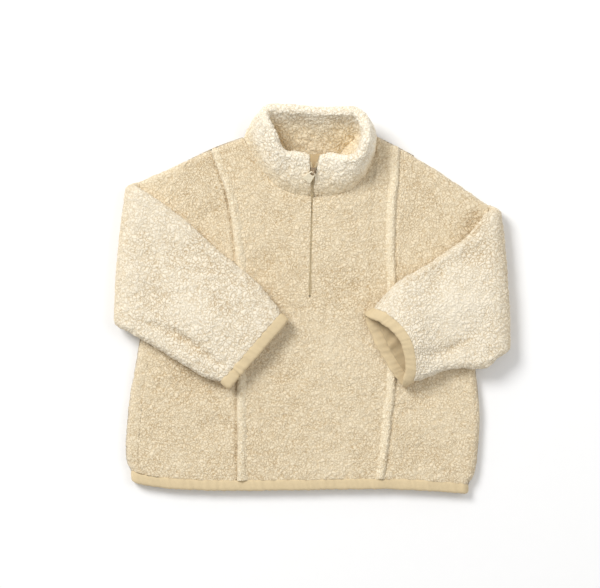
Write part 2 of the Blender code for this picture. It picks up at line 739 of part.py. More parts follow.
def zip_tape(name, side):
    """A tape under the front panel beside the slot, which then climbs the front edge of the collar."""
    rings = []
    for y, wide in TAPE_ROWS:
        near = zip_x(y) + side * SEAM_GAP / 2
        far = zip_x(y) + side * wide
        corners = ((near, TAPE_LOW), (far, TAPE_LOW), (far, TAPE_HIGH), (near, TAPE_HIGH))
        rings.append([metres(x, y, z) for x, z in corners])
    t = 0 if side < 0 else len(COLLAR) - 1
    for share in TAPE_SHARES:
        centre, _, out, half = collar_section(t, share)
        reach = abs(centre.x - collar_centre(len(COLLAR) - 1 - t, share).x) / 2
        parted = max(share - SLIDER_SHARE, 0) / (1 - SLIDER_SHARE)
        middle = centre + out * (half - TAPE_BELOW_FACE)
        near = Vector((side * (blend(SEAM_GAP / 2, reach - TAPE_NARROW, parted) - reach), 0, 0))
        far = Vector((-side * TAPE_CLEAR, 0, 0))
        depth = out * (TAPE_HIGH - TAPE_LOW) / 2
        corners = (middle + near - depth, middle + far - depth, middle + far + depth, middle + near + depth)
        rings.append([point * MM for point in corners])
    loft(name, rings, "tape")


def slider_place():
    """Matrix of the slider: X across the zip, Y up along the collar's front, Z out of it."""
    left = collar_section(0, SLIDER_SHARE)
    right = collar_section(len(COLLAR) - 1, SLIDER_SHARE)
    up = (left[1] + right[1]).normalized()
    out = (left[2] + right[2]).normalized()
    sideways = up.cross(out).normalized()
    out = sideways.cross(up)
    centre = (left[0] + right[0]) / 2 + out * (left[3] + SLIDER_CLEAR)
    place = Matrix((sideways, up, out)).transposed().to_4x4()
    place.translation = centre * MM
    return place


def box(shape, low, high, narrow=1.0):
    """A box between two corners, its -Y end narrowed."""
    made = bmesh.ops.create_cube(shape, size=1.0)["verts"]
    for vert in made:
        share = vert.co + Vector((0.5, 0.5, 0.5))
        place = Vector((blend(a, b, s) for a, b, s in zip(low, high, share)))
        if share.y < 0.5:
            place.x *= narrow
        vert.co = place * MM


def cutter(name, shape):
    mesh = bpy.data.meshes.new(name)
    shape.to_mesh(mesh)
    shape.free()
    obj = bpy.data.objects.new(name, mesh)
    obj.hide_render = True
    obj.display_type = "WIRE"
    bpy.data.collections["cutters"].objects.link(obj)
    return obj


def bridge_shape():
    """The arch over the slider that the pull tab hangs on: a tube of eight sides bent over in the YZ plane."""
    shape = bmesh.new()
    rings = []
    for k in range(-1, BRIDGE_BENDS + 2):
        a = math.pi * min(max(k / BRIDGE_BENDS, 0.0), 1.0)
        radial = Vector((0, -math.cos(a), math.sin(a)))
        middle = Vector((0, -math.cos(a) * BRIDGE_LONG / 2, SLIDER_THICK + math.sin(a) * BRIDGE_RISE))
        if k < 0 or k > BRIDGE_BENDS:
            middle.z -= SLIDER_THICK / 2
        ring = []
        for s in range(BRIDGE_SIDES):
            b = 2 * math.pi * s / BRIDGE_SIDES
            around = radial * math.cos(b) + Vector((math.sin(b), 0, 0))
            ring.append(shape.verts.new((middle + around * BRIDGE_RADIUS) * MM))
        rings.append(ring)
    for ring, after in zip(rings, rings[1:]):
        for s in range(BRIDGE_SIDES):
            n = (s + 1) % BRIDGE_SIDES
            shape.faces.new((ring[s], ring[n], after[n], after[s]))
    shape.faces.new(rings[0])
    shape.faces.new(rings[-1])
    bmesh.ops.recalc_face_normals(shape, faces=shape.faces)
    return shape


def zip_slider():
    shape = bmesh.new()
    half_long, half_wide = SLIDER_LONG / 2, SLIDER_WIDE / 2
    box(shape, (-half_wide, -half_long, 0), (half_wide, half_long, SLIDER_THICK), SLIDER_NARROW / SLIDER_WIDE)
    slider = finished("zip_slider", shape, "metal")
    slider.matrix_world = slider_place()
    keel = bmesh.new()
    box(keel, (-KEEL_WIDE / 2, -KEEL_LONG / 2, -KEEL_DEEP), (KEEL_WIDE / 2, KEEL_LONG / 2, SLIDER_THICK / 2))
    for name, joined in (("keel", keel), ("bridge", bridge_shape())):
        piece = cutter(name, joined)
        piece.matrix_world = slider.matrix_world
        union = slider.modifiers.new(name, "BOOLEAN")
        union.operation = "UNION"
        union.solver = "EXACT"
        union.object = piece


def rounded_outline(half_top, half_low, top, low, corner):
    """Points round a trapezoid with rounded corners, anticlockwise."""
    corners = ((half_top, top, 0), (-half_top, top, 90), (-half_low, low, 180), (half_low, low, 270))
    points = []
    for x, y, start in corners:
        centre_x = x - math.copysign(corner, x)
        centre_y = y - corner if y == top else y + corner
        for step in (0, 30, 60, 90):
            a = math.radians(start + step)
            points.append((centre_x + corner * math.cos(a), centre_y + corner * math.sin(a)))
    return points


def zip_pull_tab():
    """A flat tab with a hole, its origin on the bar that turns under the slider's bridge."""
    curve = bpy.data.curves.new("zip_pull_tab", "CURVE")
    curve.dimensions = "2D"
    curve.fill_mode = "BOTH"
    curve.extrude = (TAB_THICK / 2 - TAB_EDGE) * MM
    curve.bevel_depth = TAB_EDGE * MM
    curve.bevel_resolution = 0
    curve.offset = -TAB_EDGE * MM
    end = TAB_BAR / 2
    outline = rounded_outline(TAB_NARROW / 2, TAB_WIDE / 2, end, end - TAB_LONG, TAB_CORNER)
    hole = rounded_outline(TAB_HOLE_WIDE / 2, TAB_HOLE_WIDE / 2, -end, -end - TAB_HOLE_LONG, TAB_HOLE_CORNER)
    for points in (outline, hole[::-1]):
        spline = curve.splines.new("POLY")
        spline.points.add(len(points) - 1)
        for made, (x, y) in zip(spline.points, points):
            made.co = (x * MM, y * MM, 0, 1)
        spline.use_cyclic_u = True
    curve.materials.append(material("tab"))
    tab = bpy.data.objects.new("zip_pull_tab", curve)
    bpy.data.collections["pullover"].objects.link(tab)
    bar = Matrix.Translation(metres(0, TAB_BAR_Y, SLIDER_THICK + (BRIDGE_RISE - BRIDGE_RADIUS) / 2))
    skew = Matrix.Rotation(math.radians(TAB_SKEW), 4, "Z")
    dip = Matrix.Rotation(math.radians(TAB_DIP), 4, "X")
    tab.matrix_world = slider_place() @ bar @ skew @ dip


def centre_on_origin():
    """Moves everything so that the middle of the garment's box stands on the origin, resting on z = 0."""
    bpy.context.view_layer.update()
    graph = bpy.context.evaluated_depsgraph_get()
    points = []
    for obj in bpy.data.collections["pullover"].objects:
        evaluated = obj.evaluated_get(graph)
        mesh = evaluated.to_mesh()
        points += [obj.matrix_world @ vert.co for vert in mesh.vertices]
        evaluated.to_mesh_clear()
    lows = [min(point[axis] for point in points) for axis in range(3)]
    highs = [max(point[axis] for point in points) for axis in range(3)]
    shift = Vector(((lows[0] + highs[0]) / 2, (lows[1] + highs[1]) / 2, lows[2]))
    for obj in bpy.data.objects:
        obj.location -= shift


def main():
    clear_scene()
    new_collection("pullover")
    new_collection("cutters")
    back_panel()
    front_side_panels()
    front_centre_panel()
    lapped_seam("lapped_seam_left", left_seam, -1)
    lapped_seam("lapped_seam_right", right_seam, 1)
    sleeve("sleeve_left", LEFT_UPPER, LEFT_FOREARM, left_edge)
    sleeve("sleeve_right", RIGHT_UPPER, RIGHT_FOREARM, right_edge)
    cuff_band("cuff_band_left", LEFT_UPPER, LEFT_FOREARM)
    cuff_band("cuff_band_right", RIGHT_UPPER, RIGHT_FOREARM)
    cuff_lining("cuff_lining", RIGHT_UPPER, RIGHT_FOREARM)
    hem_band()
    collar()
    neck_lining()
    zip_tape("zip_tape_left", -1)
    zip_tape("zip_tape_right", 1)
    zip_slider()
    zip_pull_tab()
    centre_on_origin()


main()
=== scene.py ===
"""Looks of a child's sherpa fleece pullover that lies flat with both sleeves folded over its front.

Each piece of cloth follows the form of the solid that it replaces, on a finer mesh. Sizes in the tables are
millimetres. Left and right are as seen from above, with the collar away from the viewer.
"""

import math
from collections import namedtuple

import bpy
import numpy as np
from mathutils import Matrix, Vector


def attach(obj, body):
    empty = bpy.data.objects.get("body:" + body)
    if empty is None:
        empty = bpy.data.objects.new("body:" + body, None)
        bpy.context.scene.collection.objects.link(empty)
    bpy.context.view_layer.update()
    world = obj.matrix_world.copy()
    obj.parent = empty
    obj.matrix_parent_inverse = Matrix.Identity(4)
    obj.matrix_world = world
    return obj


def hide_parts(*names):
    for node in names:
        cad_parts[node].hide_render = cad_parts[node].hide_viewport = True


bl_info = {
    "name": "Sherpa pullover",
    "version": (1, 0, 0),
    "blender": (4, 5, 0),
    "location": "3D View > Sidebar > Pullover",
    "description": "Fleece, bindings, linings and zip of a half-zip pullover",
    "category": "Object",
}

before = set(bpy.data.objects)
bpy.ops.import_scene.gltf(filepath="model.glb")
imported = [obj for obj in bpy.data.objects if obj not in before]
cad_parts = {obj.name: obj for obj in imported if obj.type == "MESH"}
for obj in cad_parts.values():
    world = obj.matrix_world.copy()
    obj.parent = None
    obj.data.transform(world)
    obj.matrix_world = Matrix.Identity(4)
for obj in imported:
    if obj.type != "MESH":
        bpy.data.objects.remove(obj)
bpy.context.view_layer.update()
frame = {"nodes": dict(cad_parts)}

MM = 0.001

# Cells of a wall's outer skin to one of its inner skin.
STRIDE = 4

# Thickness of the fleece and of the linings, half the thickness of the body, the length of a folded edge's
# rounding, the gap between solids, how far the pile runs on past a seam, a bound edge and an armhole, and how
# far the whole garment is moved so that its box stands on the origin.
FLEECE = 6.0
BODY_HALF = 7.5
ROUNDING = BODY_HALF * math.pi / 2
SEAM_GAP = 0.3
PILE_LAP = 1.0
EDGE_LAP = 1.2
ARMHOLE_LAP = 1.0
LINING = 1.0
PLACE = np.array((-0.217, 0.246, 0.0))

# Sides of the body and the armholes above them: rows of (y, x), bottom to top.
LEFT_SIDE = (
    (-193.5, -195), (-188, -198.5), (-177, -203), (-165, -204.5), (-121, -201.5), (-77, -194.5), (-33, -186),
)
RIGHT_SIDE = (
    (-201, 172), (-196, 176), (-188, 179), (-165, 182), (-130, 184), (-90, 181), (-45, 174),
)
LEFT_ARMHOLE = ((-33, -186), (0, -176), (45, -168), (97, -159), (120, -153), (153, -136))
RIGHT_ARMHOLE = ((-45, 174), (-20, 167), (20, 155), (71, 142), (97, 138), (121, 131), (157.4, 112))

# Bottom and top of the body: rows of (x, y).
HEM = (
    (-198, -187), (-187, -190.5), (-170, -193.5), (-113, -197),
    (-13, -196.6), (64, -195.5), (119, -197), (172, -201),
)
LEFT_SHOULDER = ((-189, 130), (-156, 143.5), (-107, 166.5), (-76, 178))
RIGHT_SHOULDER = ((71, 179), (108, 160), (141, 140), (174, 116), (193, 104))
NECK_FRONT = (
    (-76, 178), (-62, 154), (-48, 134), (-30, 120), (-13, 114.5), (0, 113),
    (16, 113.5), (38, 118), (51, 129), (58, 138), (67, 159), (71, 179),
)
NECK_BACK = ((-76, 178), (-57, 178.5), (-35, 178), (0, 177.4), (35, 178), (55, 179.5), (71, 179))
HEM_BAND_LEFT, HEM_BAND_RIGHT = -197.5, 171.5
EDGE_POINTS = 40
ROUNDING_STRETCH = 1.6
HALVINGS = 30

# Lengths that set how many cells a grid has: up the body below and beside the zip, across each panel and
# round the left edge to the side seam, across the centre panel on each side of the zip, and down a sleeve and
# a cuff.
# Then the spacing of three grids, as shares of the mesh spacing but for the cuffs' own.
BELOW_ZIP, BESIDE_ZIP = 195, 135
SIDE_LEFT_WIDE, SIDE_RIGHT_WIDE, BACK_WIDE, TURN_WIDE = 108, 95, 370, 13
CENTRE_LEFT_WIDE, CENTRE_RIGHT_WIDE = 76, 84
SLEEVE_WIDE, CUFF_WIDE = 130, 95
COARSER_BACK, FINER_COLLAR, CUFF_STEP = 1.5, 0.9, 0.9

# Seams down the front, and the side seam's distance in from the left edge: rows of (y, ...).
LEFT_SEAM = (
    (-200, -76), (-160, -75.5), (-90, -76.5), (-20, -76), (39, -77.5),
    (63, -79.6), (98, -84), (123, -90), (147, -99), (167, -106),
)
RIGHT_SEAM = (
    (-202, 73), (-152, 79.8), (-129, 81.7), (-101, 85.8), (-35, 88), (33, 86.4),
    (55, 85.3), (79, 85.8), (109, 87), (131, 89.7), (171, 91),
)
SIDE_SEAM_IN = ((-195, 13), (-150, 15), (-100, 15), (-58, 12), (-33, 0.6))
LAP_PROFILE = ((0, 0), (0.8, 2.5), (2.6, 4.4), (5.0, 4.7), (8.4, 3.1), (12.0, 0))
LAP_SINK = 1.3
LAP_POINTS = 17
GROOVE_OUT, GROOVE_WIDE = 6.8, 1.9
LEFT_GROOVE, RIGHT_GROOVE = 2.0, 0.5

# Zip: its lowest point, its line across the front, its slot and how much that wanders, and where the slider
# is. Coils: the heights, ends and rows of their line, how far each is from the middle, and a turn's size.
ZIP_LOW = 3.0
ZIP_X = -2.2
ZIP_LEAN = 0.0227
ZIP_SLOT = 1.7
SLIDER_SHARE = 0.76
COIL_HIGH, COIL_LOW = 14.9, 13.2
SLOT_WANDER, SLOT_WAVE = 0.45, 3.1
COIL_BOTTOM, COIL_TOP, COIL_ROWS, COIL_ASIDE = ZIP_LOW + 1.5, 108, 12, 0.75
COIL_SHARES = (0.1, 0.3, 0.5, 0.65, 0.76, 0.84, 0.92, 0.97)
COIL_HALF_WIDE, COIL_HALF_TALL, COIL_WIRE = 0.75, 0.5, 0.3
COIL_SIDES, COIL_PER_TURN = 6, 8
COIL_UNDER_FACE, COIL_INSIDE = 1.0, 1.2

# Sleeves. A station is one flattened ring, as its two folded ends in plan, the height of its underside, its
# thickness, and how far the cuff edge of each layer stands back.
Station = namedtuple("Station", "top_x top_y low_x low_y underside thick upper_back lower_back")
LEFT_UPPER = (
    Station(-136.3, 152.7, -186.4, -33.0, 0, 15, 0, 0),
    Station(-163, 140.6, -195, -31, 0, 15, 0, 0),
    Station(-189, 129.5, -203, -25, 0, 15, 0, 0),
)
LEFT_FOREARM = (
    Station(-186, 121, -200, -36, 16.0, 15.0, 0, 0),
    Station(-163, 105, -186, -44, 16.2, 15.6, 0, 0),
    Station(-137, 86, -170, -53, 16.5, 15.9, 0, 0),
    Station(-111, 61, -151, -65, 17.6, 15.9, 0, 0),
    Station(-84, 39, -134, -75, 19.4, 15.9, 0, 0),
    Station(-57, 16, -117, -85, 19.6, 15.9, 0, 0),
    Station(-34, -13, -101, -90, 19.6, 15.6, 0, 0),
)
RIGHT_UPPER = (
    Station(112.3, 157.2, 174.4, -45.0, 0, 15, 0, 0),
    Station(152, 131.5, 188, -49, 0, 15, 0, 0),
    Station(192, 104.2, 202, -52, 0, 15, 0, 0),
)
RIGHT_FOREARM = (
    Station(190, 95, 202, -65, 16.0, 15.0, 0, 0),
    Station(172, 72, 190, -75, 16.2, 15.8, 0, 0),
    Station(150, 55, 168, -75.5, 16.5, 16.2, 0, 0),
    Station(131, 42, 150, -77, 17.2, 16.8, 0, 0),
    Station(112, 30, 137, -81, 18.8, 18.5, 3, 0),
    Station(92, 18, 125, -86, 19.8, 22.5, 10, -2),
    Station(68, -8, 112, -90, 20.2, 27.0, 19, -5),
)
UPPER_STEPS = (0.5, 1.0, 2.0)
FOREARM_STEPS = 12
BELLY_POWER = 0.8
BODY_TOP = 15.2
FOLD_RADIUS = 8.0
FOLD_BOW = 3.0
FOLD_ANGLES = (25, 50, 75, 105, 130, 155)
CUFF_LINING_FROM, CUFF_LINING_SHORT, CUFF_LINING_OVER = 3.4, 0.03, 2.4
CUFF_LINING_RING, CUFF_LINING_KEYS, CUFF_LINING_STEP = (64, 8), 9, 1.6

# Bindings: rows of (ahead of the fleece edge, out from the fleece surface), from inside round to outside.
CUFF_PROFILE = (
    (0.7, -5.7), (5.0, -5.9), (10.0, -5.8), (12.2, -5.3), (13.1, -3.4),
    (12.6, -1.6), (10.6, -0.4), (5.5, -0.1), (1.7, -0.4), (0.7, -1.5),
)
HEM_PROFILE = (
    (0.8, -5.7), (4.8, -5.9), (9.6, -5.8), (11.6, -5.1), (12.4, -3.0),
    (11.8, -1.1), (9.8, 0.0), (5.2, 0.3), (1.7, 0.0), (0.8, -1.0),
)
BINDING = 0.8
CUFF_SEAM_AT, SEAM_DIP, SEAM_WIDE = 82.0, 1.6, 1.3

# Waves of noise. Gathers: their spacing, slant and change across a binding, their place in the noise and
# their height. Folds of the cuff lining: width, length, height, place, seed. Laps: size, height, seed.
GATHERS = ((1.0, 1.6, 1.3, 0, 0.9), (0.27, 0.0, 0.6, 5, 0.8))
GATHER_LANES = 1.3
LINING_FOLDS = ((13, 50, 3.0, 0, 151), (7, 26, 0.8, 3, 152))
LAP_WAVES = ((9, 0.45, 0), (4, 0.25, 1))
LAP_RAISED = 1.5

# Collar: one section of the middle of its wall a row, from the neck seam to the rim, and how much further in
# the foot of its inner layer falls.
Rib = namedtuple("Rib", "base_x base_y base_z rim_x rim_y rim_z in_x in_y in_z")
COLLAR = (
    Rib(-1.1, 115.0, 13.0, -2.3, 152, 34, 0, 0, 0),
    Rib(-15, 116.9, 13.0, -14, 155.5, 36, 0, 0, 0),
    Rib(-31, 123.4, 13.0, -28, 156, 38, 3, 3, 0),
    Rib(-46.6, 138.4, 13.0, -37, 164, 41, 11, 6, -1),
    Rib(-59.2, 156, 13.0, -43, 179, 44, 21, 0, -2),
    Rib(-67.5, 177, 12.4, -51, 196, 43, 24, -7, -2),
    Rib(-56, 181.5, 7.4, -47, 206, 40, 18, -13, -0.5),
    Rib(-28, 178.0, 7.0, -24, 206.5, 38, 6, -15, -0.5),
    Rib(2, 177.3, 7.0, 3, 204, 37, 0, -16, -0.5),
    Rib(28, 178.0, 7.0, 28, 203.5, 38, -5, -15, -0.5),
    Rib(52, 182.0, 7.4, 48, 203, 42, -12, -13, -0.5),
    Rib(63.6, 177.5, 12.4, 59, 187, 47, -19, -5, -2),
    Rib(60.9, 157.5, 13.2, 58, 169, 48, -25, 2, -2),
    Rib(50.9, 136.2, 13.4, 51, 156, 45, -18, 14, -1),
    Rib(36, 121.3, 13.0, 36, 151, 39, -3, 3, 0),
    Rib(17, 116.4, 13.0, 20, 154.5, 36, 0, 0, 0),
    Rib(1.9, 115.0, 13.0, 7.8, 152, 34, 0, 0, 0),
)
COLLAR_BASE, COLLAR_RIM, COLLAR_GAPE, COLLAR_PUFF, COLLAR_NEAR = 9.0, 12.0, 3.0, 3.0, 0.3
COLLAR_FALL, COLLAR_SEAM, COLLAR_TUCK, COLLAR_SINK, COLLAR_SPREAD = 1.3, 0.85, 3.8, 3.0, 3.2
COLLAR_LOWEST, COLLAR_FOOT = 1.0, 6
COLLAR_WALL, COLLAR_OVER, COLLAR_UNDER, COLLAR_KEYS = 34, 16, 10, 3
FACING_HALF_WIDTH, FACING_LEAST, FACING_TOP, FACING_DROP, FACING_LOW = 50.0, 4.0, 173.5, 44.0, 6.3
FACING_ROWS, FACING_COLUMNS, FACING_WAVE, FACING_WAVE_SIZE = 40, 64, 0.35, 22

# Creases, each on a line in plan: how wide it is, how deep (a ridge where negative), and whether it is on the
# side that faces up (1) or down (-1).
Crease = namedtuple("Crease", "x0 y0 x1 y1 wide deep side")
BODY_CREASES = (
    Crease(-30, 60, -70, 20, 14, 2.2, 1),
    Crease(20, 40, 62, -8, 16, 2.1, 1),
    Crease(-62, -60, -10, -84, 18, 1.8, 1),
    Crease(8, -40, 66, -92, 15, -1.7, 1),
    Crease(-150, -95, -96, -80, 16, 2.2, 1),
    Crease(-140, -150, -90, -140, 14, 1.7, 1),
    Crease(100, -120, 150, -96, 16, 2.4, 1),
    Crease(96, -160, 140, -172, 13, 1.7, 1),
    Crease(-126, 60, -92, 118, 14, 2.2, 1),
    Crease(98, 60, 122, 110, 13, 2.1, 1),
    Crease(30, 92, 70, 84, 10, 1.4, 1),
    Crease(-56, 96, -18, 88, 10, 1.5, 1),
    Crease(-120, 90, 60, 60, 20, 2.0, -1),
    Crease(-60, -40, 120, -70, 22, 2.0, -1),
    Crease(-150, -120, -40, -140, 18, 1.7, -1),
)
LEFT_SLEEVE_CREASES = (
    Crease(-128, 62, -52, -6, 9, 2.4, 1),
    Crease(-160, 10, -92, -46, 15, -2.8, 1),
    Crease(-176, -27, -98, -66, 4.5, 4.6, 1),
    Crease(-196, 10, -150, -8, 13, 2.7, 1),
    Crease(-160, 74, -120, 28, 15, 2.4, 1),
    Crease(-110, 30, -78, -28, 13, 2.0, 1),
    Crease(-190, 80, -172, 20, 12, 2.1, 1),
    Crease(-196, 60, -176, 0, 16, 2.4, -1),
)
RIGHT_SLEEVE_CREASES = (
    Crease(196, -4, 112, 2, 13, -2.8, 1),
    Crease(168, 46, 104, 22, 10, 2.4, 1),
    Crease(192, 94, 158, 66, 9, 5.0, 1),
    Crease(196, 60, 160, 34, 12, 2.7, 1),
    Crease(181, -40, 120, -64, 6, 3.4, 1),
    Crease(150, 30, 112, -8, 13, 2.4, 1),
    Crease(176, -6, 134, -26, 14, -2.0, 1),
    Crease(196, 40, 176, -20, 16, 2.1, -1),
)
COLLAR_CREASES = (
    Crease(-52, 150, -44, 186, 7, 2.0, 1),
    Crease(-36, 128, -22, 156, 6, 1.6, 1),
    Crease(44, 132, 40, 160, 6, 1.8, 1),
    Crease(58, 150, 54, 182, 6, 1.6, 1),
    Crease(-20, 200, -16, 180, 7, 1.4, 1),
    Crease(24, 198, 30, 178, 7, 1.5, 1),
)


# Sizes and colours that a user would change


def size_property(name, description, default):
    return bpy.props.FloatProperty(
        name=name, description=description, default=default, min=0.0, precision=5,
        subtype="DISTANCE", unit="LENGTH",
    )


def number_property(name, description, default):
    return bpy.props.FloatProperty(name=name, description=description, default=default)


def colour_property(name, description, default):
    return bpy.props.FloatVectorProperty(
        name=name, description=description, default=default, size=3, min=0.0, max=1.0, subtype="COLOR"
    )


class PulloverFleece(bpy.types.PropertyGroup):
    spacing: size_property("Mesh spacing", "Distance between the points of the fleece's skin", 0.001)
    curl_size: size_property("Curl size", "Distance between the middles of two curls", 0.0036)
    curl_height: size_property("Curl height", "Depth of the crevices between curls", 0.0010)
    clump_height: size_property("Clump height", "How much whole tufts stand up or lie down", 0.0007)
    seam_depth: size_property("Seam depth", "How far the pile dips at a sewn edge", 0.0004)
    # The three pile colours paint shade: darkest in the crevices between curls, lightest on the curl tops.
    light: colour_property("Curl colour", "Colour of the pile's tips", (0.92, 0.85, 0.71))
    middle: colour_property("Pile colour", "Colour of the pile's flanks", (0.84, 0.75, 0.58))
    deep: colour_property("Crevice colour", "Colour of the pile's roots", (0.56, 0.43, 0.27))


class PulloverTrim(bpy.types.PropertyGroup):
    gather: size_property("Gather height", "Height of the small gathers across the bindings", 0.0008)
    gather_size: size_property("Gather spacing", "Distance between two gathers", 0.0046)
    binding: colour_property("Binding colour", "Colour of the woven binding", (0.74, 0.59, 0.36))
    lining: colour_property("Lining colour", "Colour of the smooth lining", (0.62, 0.48, 0.28))
    tape: colour_property("Tape colour", "Colour of the zip's tapes", (0.74, 0.62, 0.42))
    coil: colour_property("Coil colour", "Colour of the zip's coil", (0.78, 0.64, 0.40))
    coil_pitch: size_property("Coil pitch", "Distance between two turns of the coil", 0.0014)
    slider: colour_property("Slider colour", "Colour of the slider", (0.50, 0.38, 0.25))
    tab: colour_property("Tab colour", "Colour of the pull tab", (0.94, 0.84, 0.63))


class PulloverStudio(bpy.types.PropertyGroup):
    height: size_property("Camera height", "Height of the camera over the floor", 3.0)
    width: size_property("View width", "Width of the view at the height of the cloth", 0.66)
    middle_x: number_property("View centre X", "Middle of the view", -0.0132)
    middle_y: number_property("View centre Y", "Middle of the view", 0.0062)
    floor: colour_property("Floor colour", "Colour of the floor", (0.93, 0.93, 0.93))
    key: number_property("Key light", "Power of the large soft light", 114.0)
    fill: number_property("Sky light", "Strength of the light from all round", 0.49)


# Numbers and curves


def blend(a, b, t):
    return a + (b - a) * t


def through(rows, at):
    """Values at the given positions on the smooth curve through rows of (position, value)."""
    table = np.array(rows, float)
    return along(table[:, 0], table[:, 1:], at)[..., 0]


def along(places, values, at):
    """Rows of values at the given positions on the smooth curve through them."""
    last = len(places) - 1
    at = np.clip(at, places[0], places[-1])
    k = np.clip(np.searchsorted(places, at, side="right") - 1, 0, last - 1)
    before, after = np.maximum(np.arange(last + 1) - 1, 0), np.minimum(np.arange(last + 1) + 1, last)
    flat = values.reshape(last + 1, -1)
    slopes = (flat[after] - flat[before]) / (places[after] - places[before])[:, None]
    span = (places[k + 1] - places[k])[..., None]
    t = (at[..., None] - places[k][..., None]) / span
    start = flat[k] * (1 + 2 * t) * (1 - t) ** 2 + slopes[k] * span * t * (1 - t) ** 2
    end = flat[k + 1] * (3 - 2 * t) * t * t - slopes[k + 1] * span * t * t * (1 - t)
    return (start + end).reshape(at.shape + values.shape[1:])


def between_rows(rows, at):
    """Rows at the given places on the smooth curve through a table's rows, which stand at 0, 1, 2 and on."""
    return along(np.arange(len(rows), dtype=float), np.array(rows, float), np.array(at, float))


def smooth_row(rows, t):
    return type(rows[0])(*between_rows(rows, t))


def run_of(line):
    """Length along a line at each of its points."""
    return np.concatenate(([0], np.cumsum(np.linalg.norm(np.diff(line, axis=0), axis=-1))))


def whole_cells(length, step):
    """How many cells of about the given step fill a length, in whole strides."""
    return max(int(round(length / step / STRIDE)), 1) * STRIDE


def unit(vectors):
    return vectors / np.maximum(np.linalg.norm(vectors, axis=-1, keepdims=True), 1e-9)


def gradient_noise(points, seed):
    """Smooth noise from about -1 to 1, with one wave to each unit of the points."""
    rng = np.random.default_rng(seed)
    table = rng.permutation(256)
    directions = unit(rng.normal(size=(256, 3)))
    cell = np.floor(points).astype(int)
    part = points - cell
    fade = part**3 * (part * (part * 6 - 15) + 10)
    total = np.zeros(points.shape[:-1])
    for corner in range(8):
        step = np.array((corner >> 2 & 1, corner >> 1 & 1, corner & 1))
        at = cell + step
        index = table[at[..., 0] & 255]
        index = table[(index + at[..., 1]) & 255]
        index = table[(index + at[..., 2]) & 255]
        value = ((part - step) * directions[index]).sum(-1)
        total += value * np.prod(np.where(step, fade, 1 - fade), axis=-1)
    return total * 1.6


# Skins: grids of points, rows by columns


def normals(outer, inner, closed):
    """Outward directions of a skin. inner is the skin under it."""
    if closed:
        across = np.roll(outer, -1, axis=1) - np.roll(outer, 1, axis=1)
    else:
        across = np.gradient(outer, axis=1)
    up = np.gradient(outer, axis=0)
    out = unit(np.cross(across, up))
    towards = outer - inner
    middle = (out * towards).sum(-1)
    return out if np.median(middle) > 0 else -out


def edge_distance(grid, sewn):
    """Distance along the cloth from the nearest sewn edge. sewn holds letters of L, R, B and T."""
    far = np.full(grid.shape[:2], 1e3)
    for letter, axis, turned in (("L", 1, False), ("R", 1, True), ("B", 0, False), ("T", 0, True)):
        if letter in sewn:
            steps = np.linalg.norm(np.diff(grid, axis=axis), axis=-1)
            steps = np.flip(steps, axis) if turned else steps
            run = np.insert(np.cumsum(steps, axis=axis), 0, 0, axis=axis)
            far = np.minimum(far, np.flip(run, axis) if turned else run)
    return far


CREASE_WANDER, CREASE_WAVE, CREASE_END = 3.0, 5, 0.62
CLUMPS = ((3.1, 1.0, 9), (1.5, 0.6, 10))
CLUMP_MIDDLE, SEAM_REACH, PILE_LEVEL = 0.3, 2.6, 0.35


def crease_depth(points, out, creases):
    """How far in the creases push each point: deepest on their lines, and fading towards their ends."""
    depth = np.zeros(points.shape[:-1])
    for c in creases:
        along_x, along_y = c.x1 - c.x0, c.y1 - c.y0
        length = math.hypot(along_x, along_y)
        share = ((points[..., 0] - c.x0) * along_x + (points[..., 1] - c.y0) * along_y) / length**2
        wander = CREASE_WANDER * np.sin(share * CREASE_WAVE + c.x0)
        away = ((points[..., 0] - c.x0) * along_y - (points[..., 1] - c.y0) * along_x) / length + wander
        taper = np.clip(1 - np.abs(share - 0.5) / CREASE_END, 0, 1) ** 0.8
        faces = np.clip(out[..., 2] * c.side * 2, 0, 1)
        depth += c.deep * np.exp(-((away / c.wide) ** 2)) * taper * faces
    return depth


def pile(outer, inner, settings, seed, sewn, creases, closed=False, groove=0.0):
    """The skin with its creases and clumps, the directions in which its curls rise, and its depth, which the
    finishes also use to paint shade in creases and grooves and light on ridges.
    """
    out = normals(outer, inner, closed)
    depth_and_shade = crease_depth(outer, out, creases) + groove
    base = outer - out * depth_and_shade[..., None]
    size = settings.curl_size / MM
    clump = sum(share * gradient_noise(base / (size * wide), seed + extra) for wide, share, extra in CLUMPS)
    edge = edge_distance(base, sewn)
    push = settings.clump_height / MM * (clump - CLUMP_MIDDLE) + PILE_LEVEL
    push = push - settings.seam_depth / MM * np.exp(-((edge / SEAM_REACH) ** 2))
    return base + out * push[..., None], out, depth_and_shade


# Body


def left_edge(y):
    return through(LEFT_SIDE + LEFT_ARMHOLE[1:], y)


def right_edge(y):
    return through(RIGHT_SIDE + RIGHT_ARMHOLE[1:], y)


def zip_x(y):
    return ZIP_X + ZIP_LEAN * y


def left_seam(y):
    return through(LEFT_SEAM, y)


def right_seam(y):
    return through(RIGHT_SEAM, y)


def left_side_seam(y):
    return left_edge(y) + through(SIDE_SEAM_IN, y)


def slot_edge(side):
    """One edge of the zip's slot, -1 on the left and 1 on the right."""
    def at(y):
        wander = gradient_noise(np.stack((y / SLOT_WAVE, 0 * y + side, 0 * y), -1), 31)
        return zip_x(y) + side * (ZIP_SLOT / 2 + SLOT_WANDER * wander)
    return at


def offset(bound, by):
    return lambda y: bound(y) + by


def top_of(neck, x):
    """Where the body ends at x: the shoulder seam, or the neckline between the shoulders."""
    by_neck = np.where(x > neck[-1][0], through(RIGHT_SHOULDER, x), through(neck, x))
    return np.where(x < neck[0][0], through(LEFT_SHOULDER, x), by_neck)


def sampled(rows):
    places = np.linspace(rows[0][0], rows[-1][0], EDGE_POINTS + 1)
    return list(zip(places, through(rows, places)))


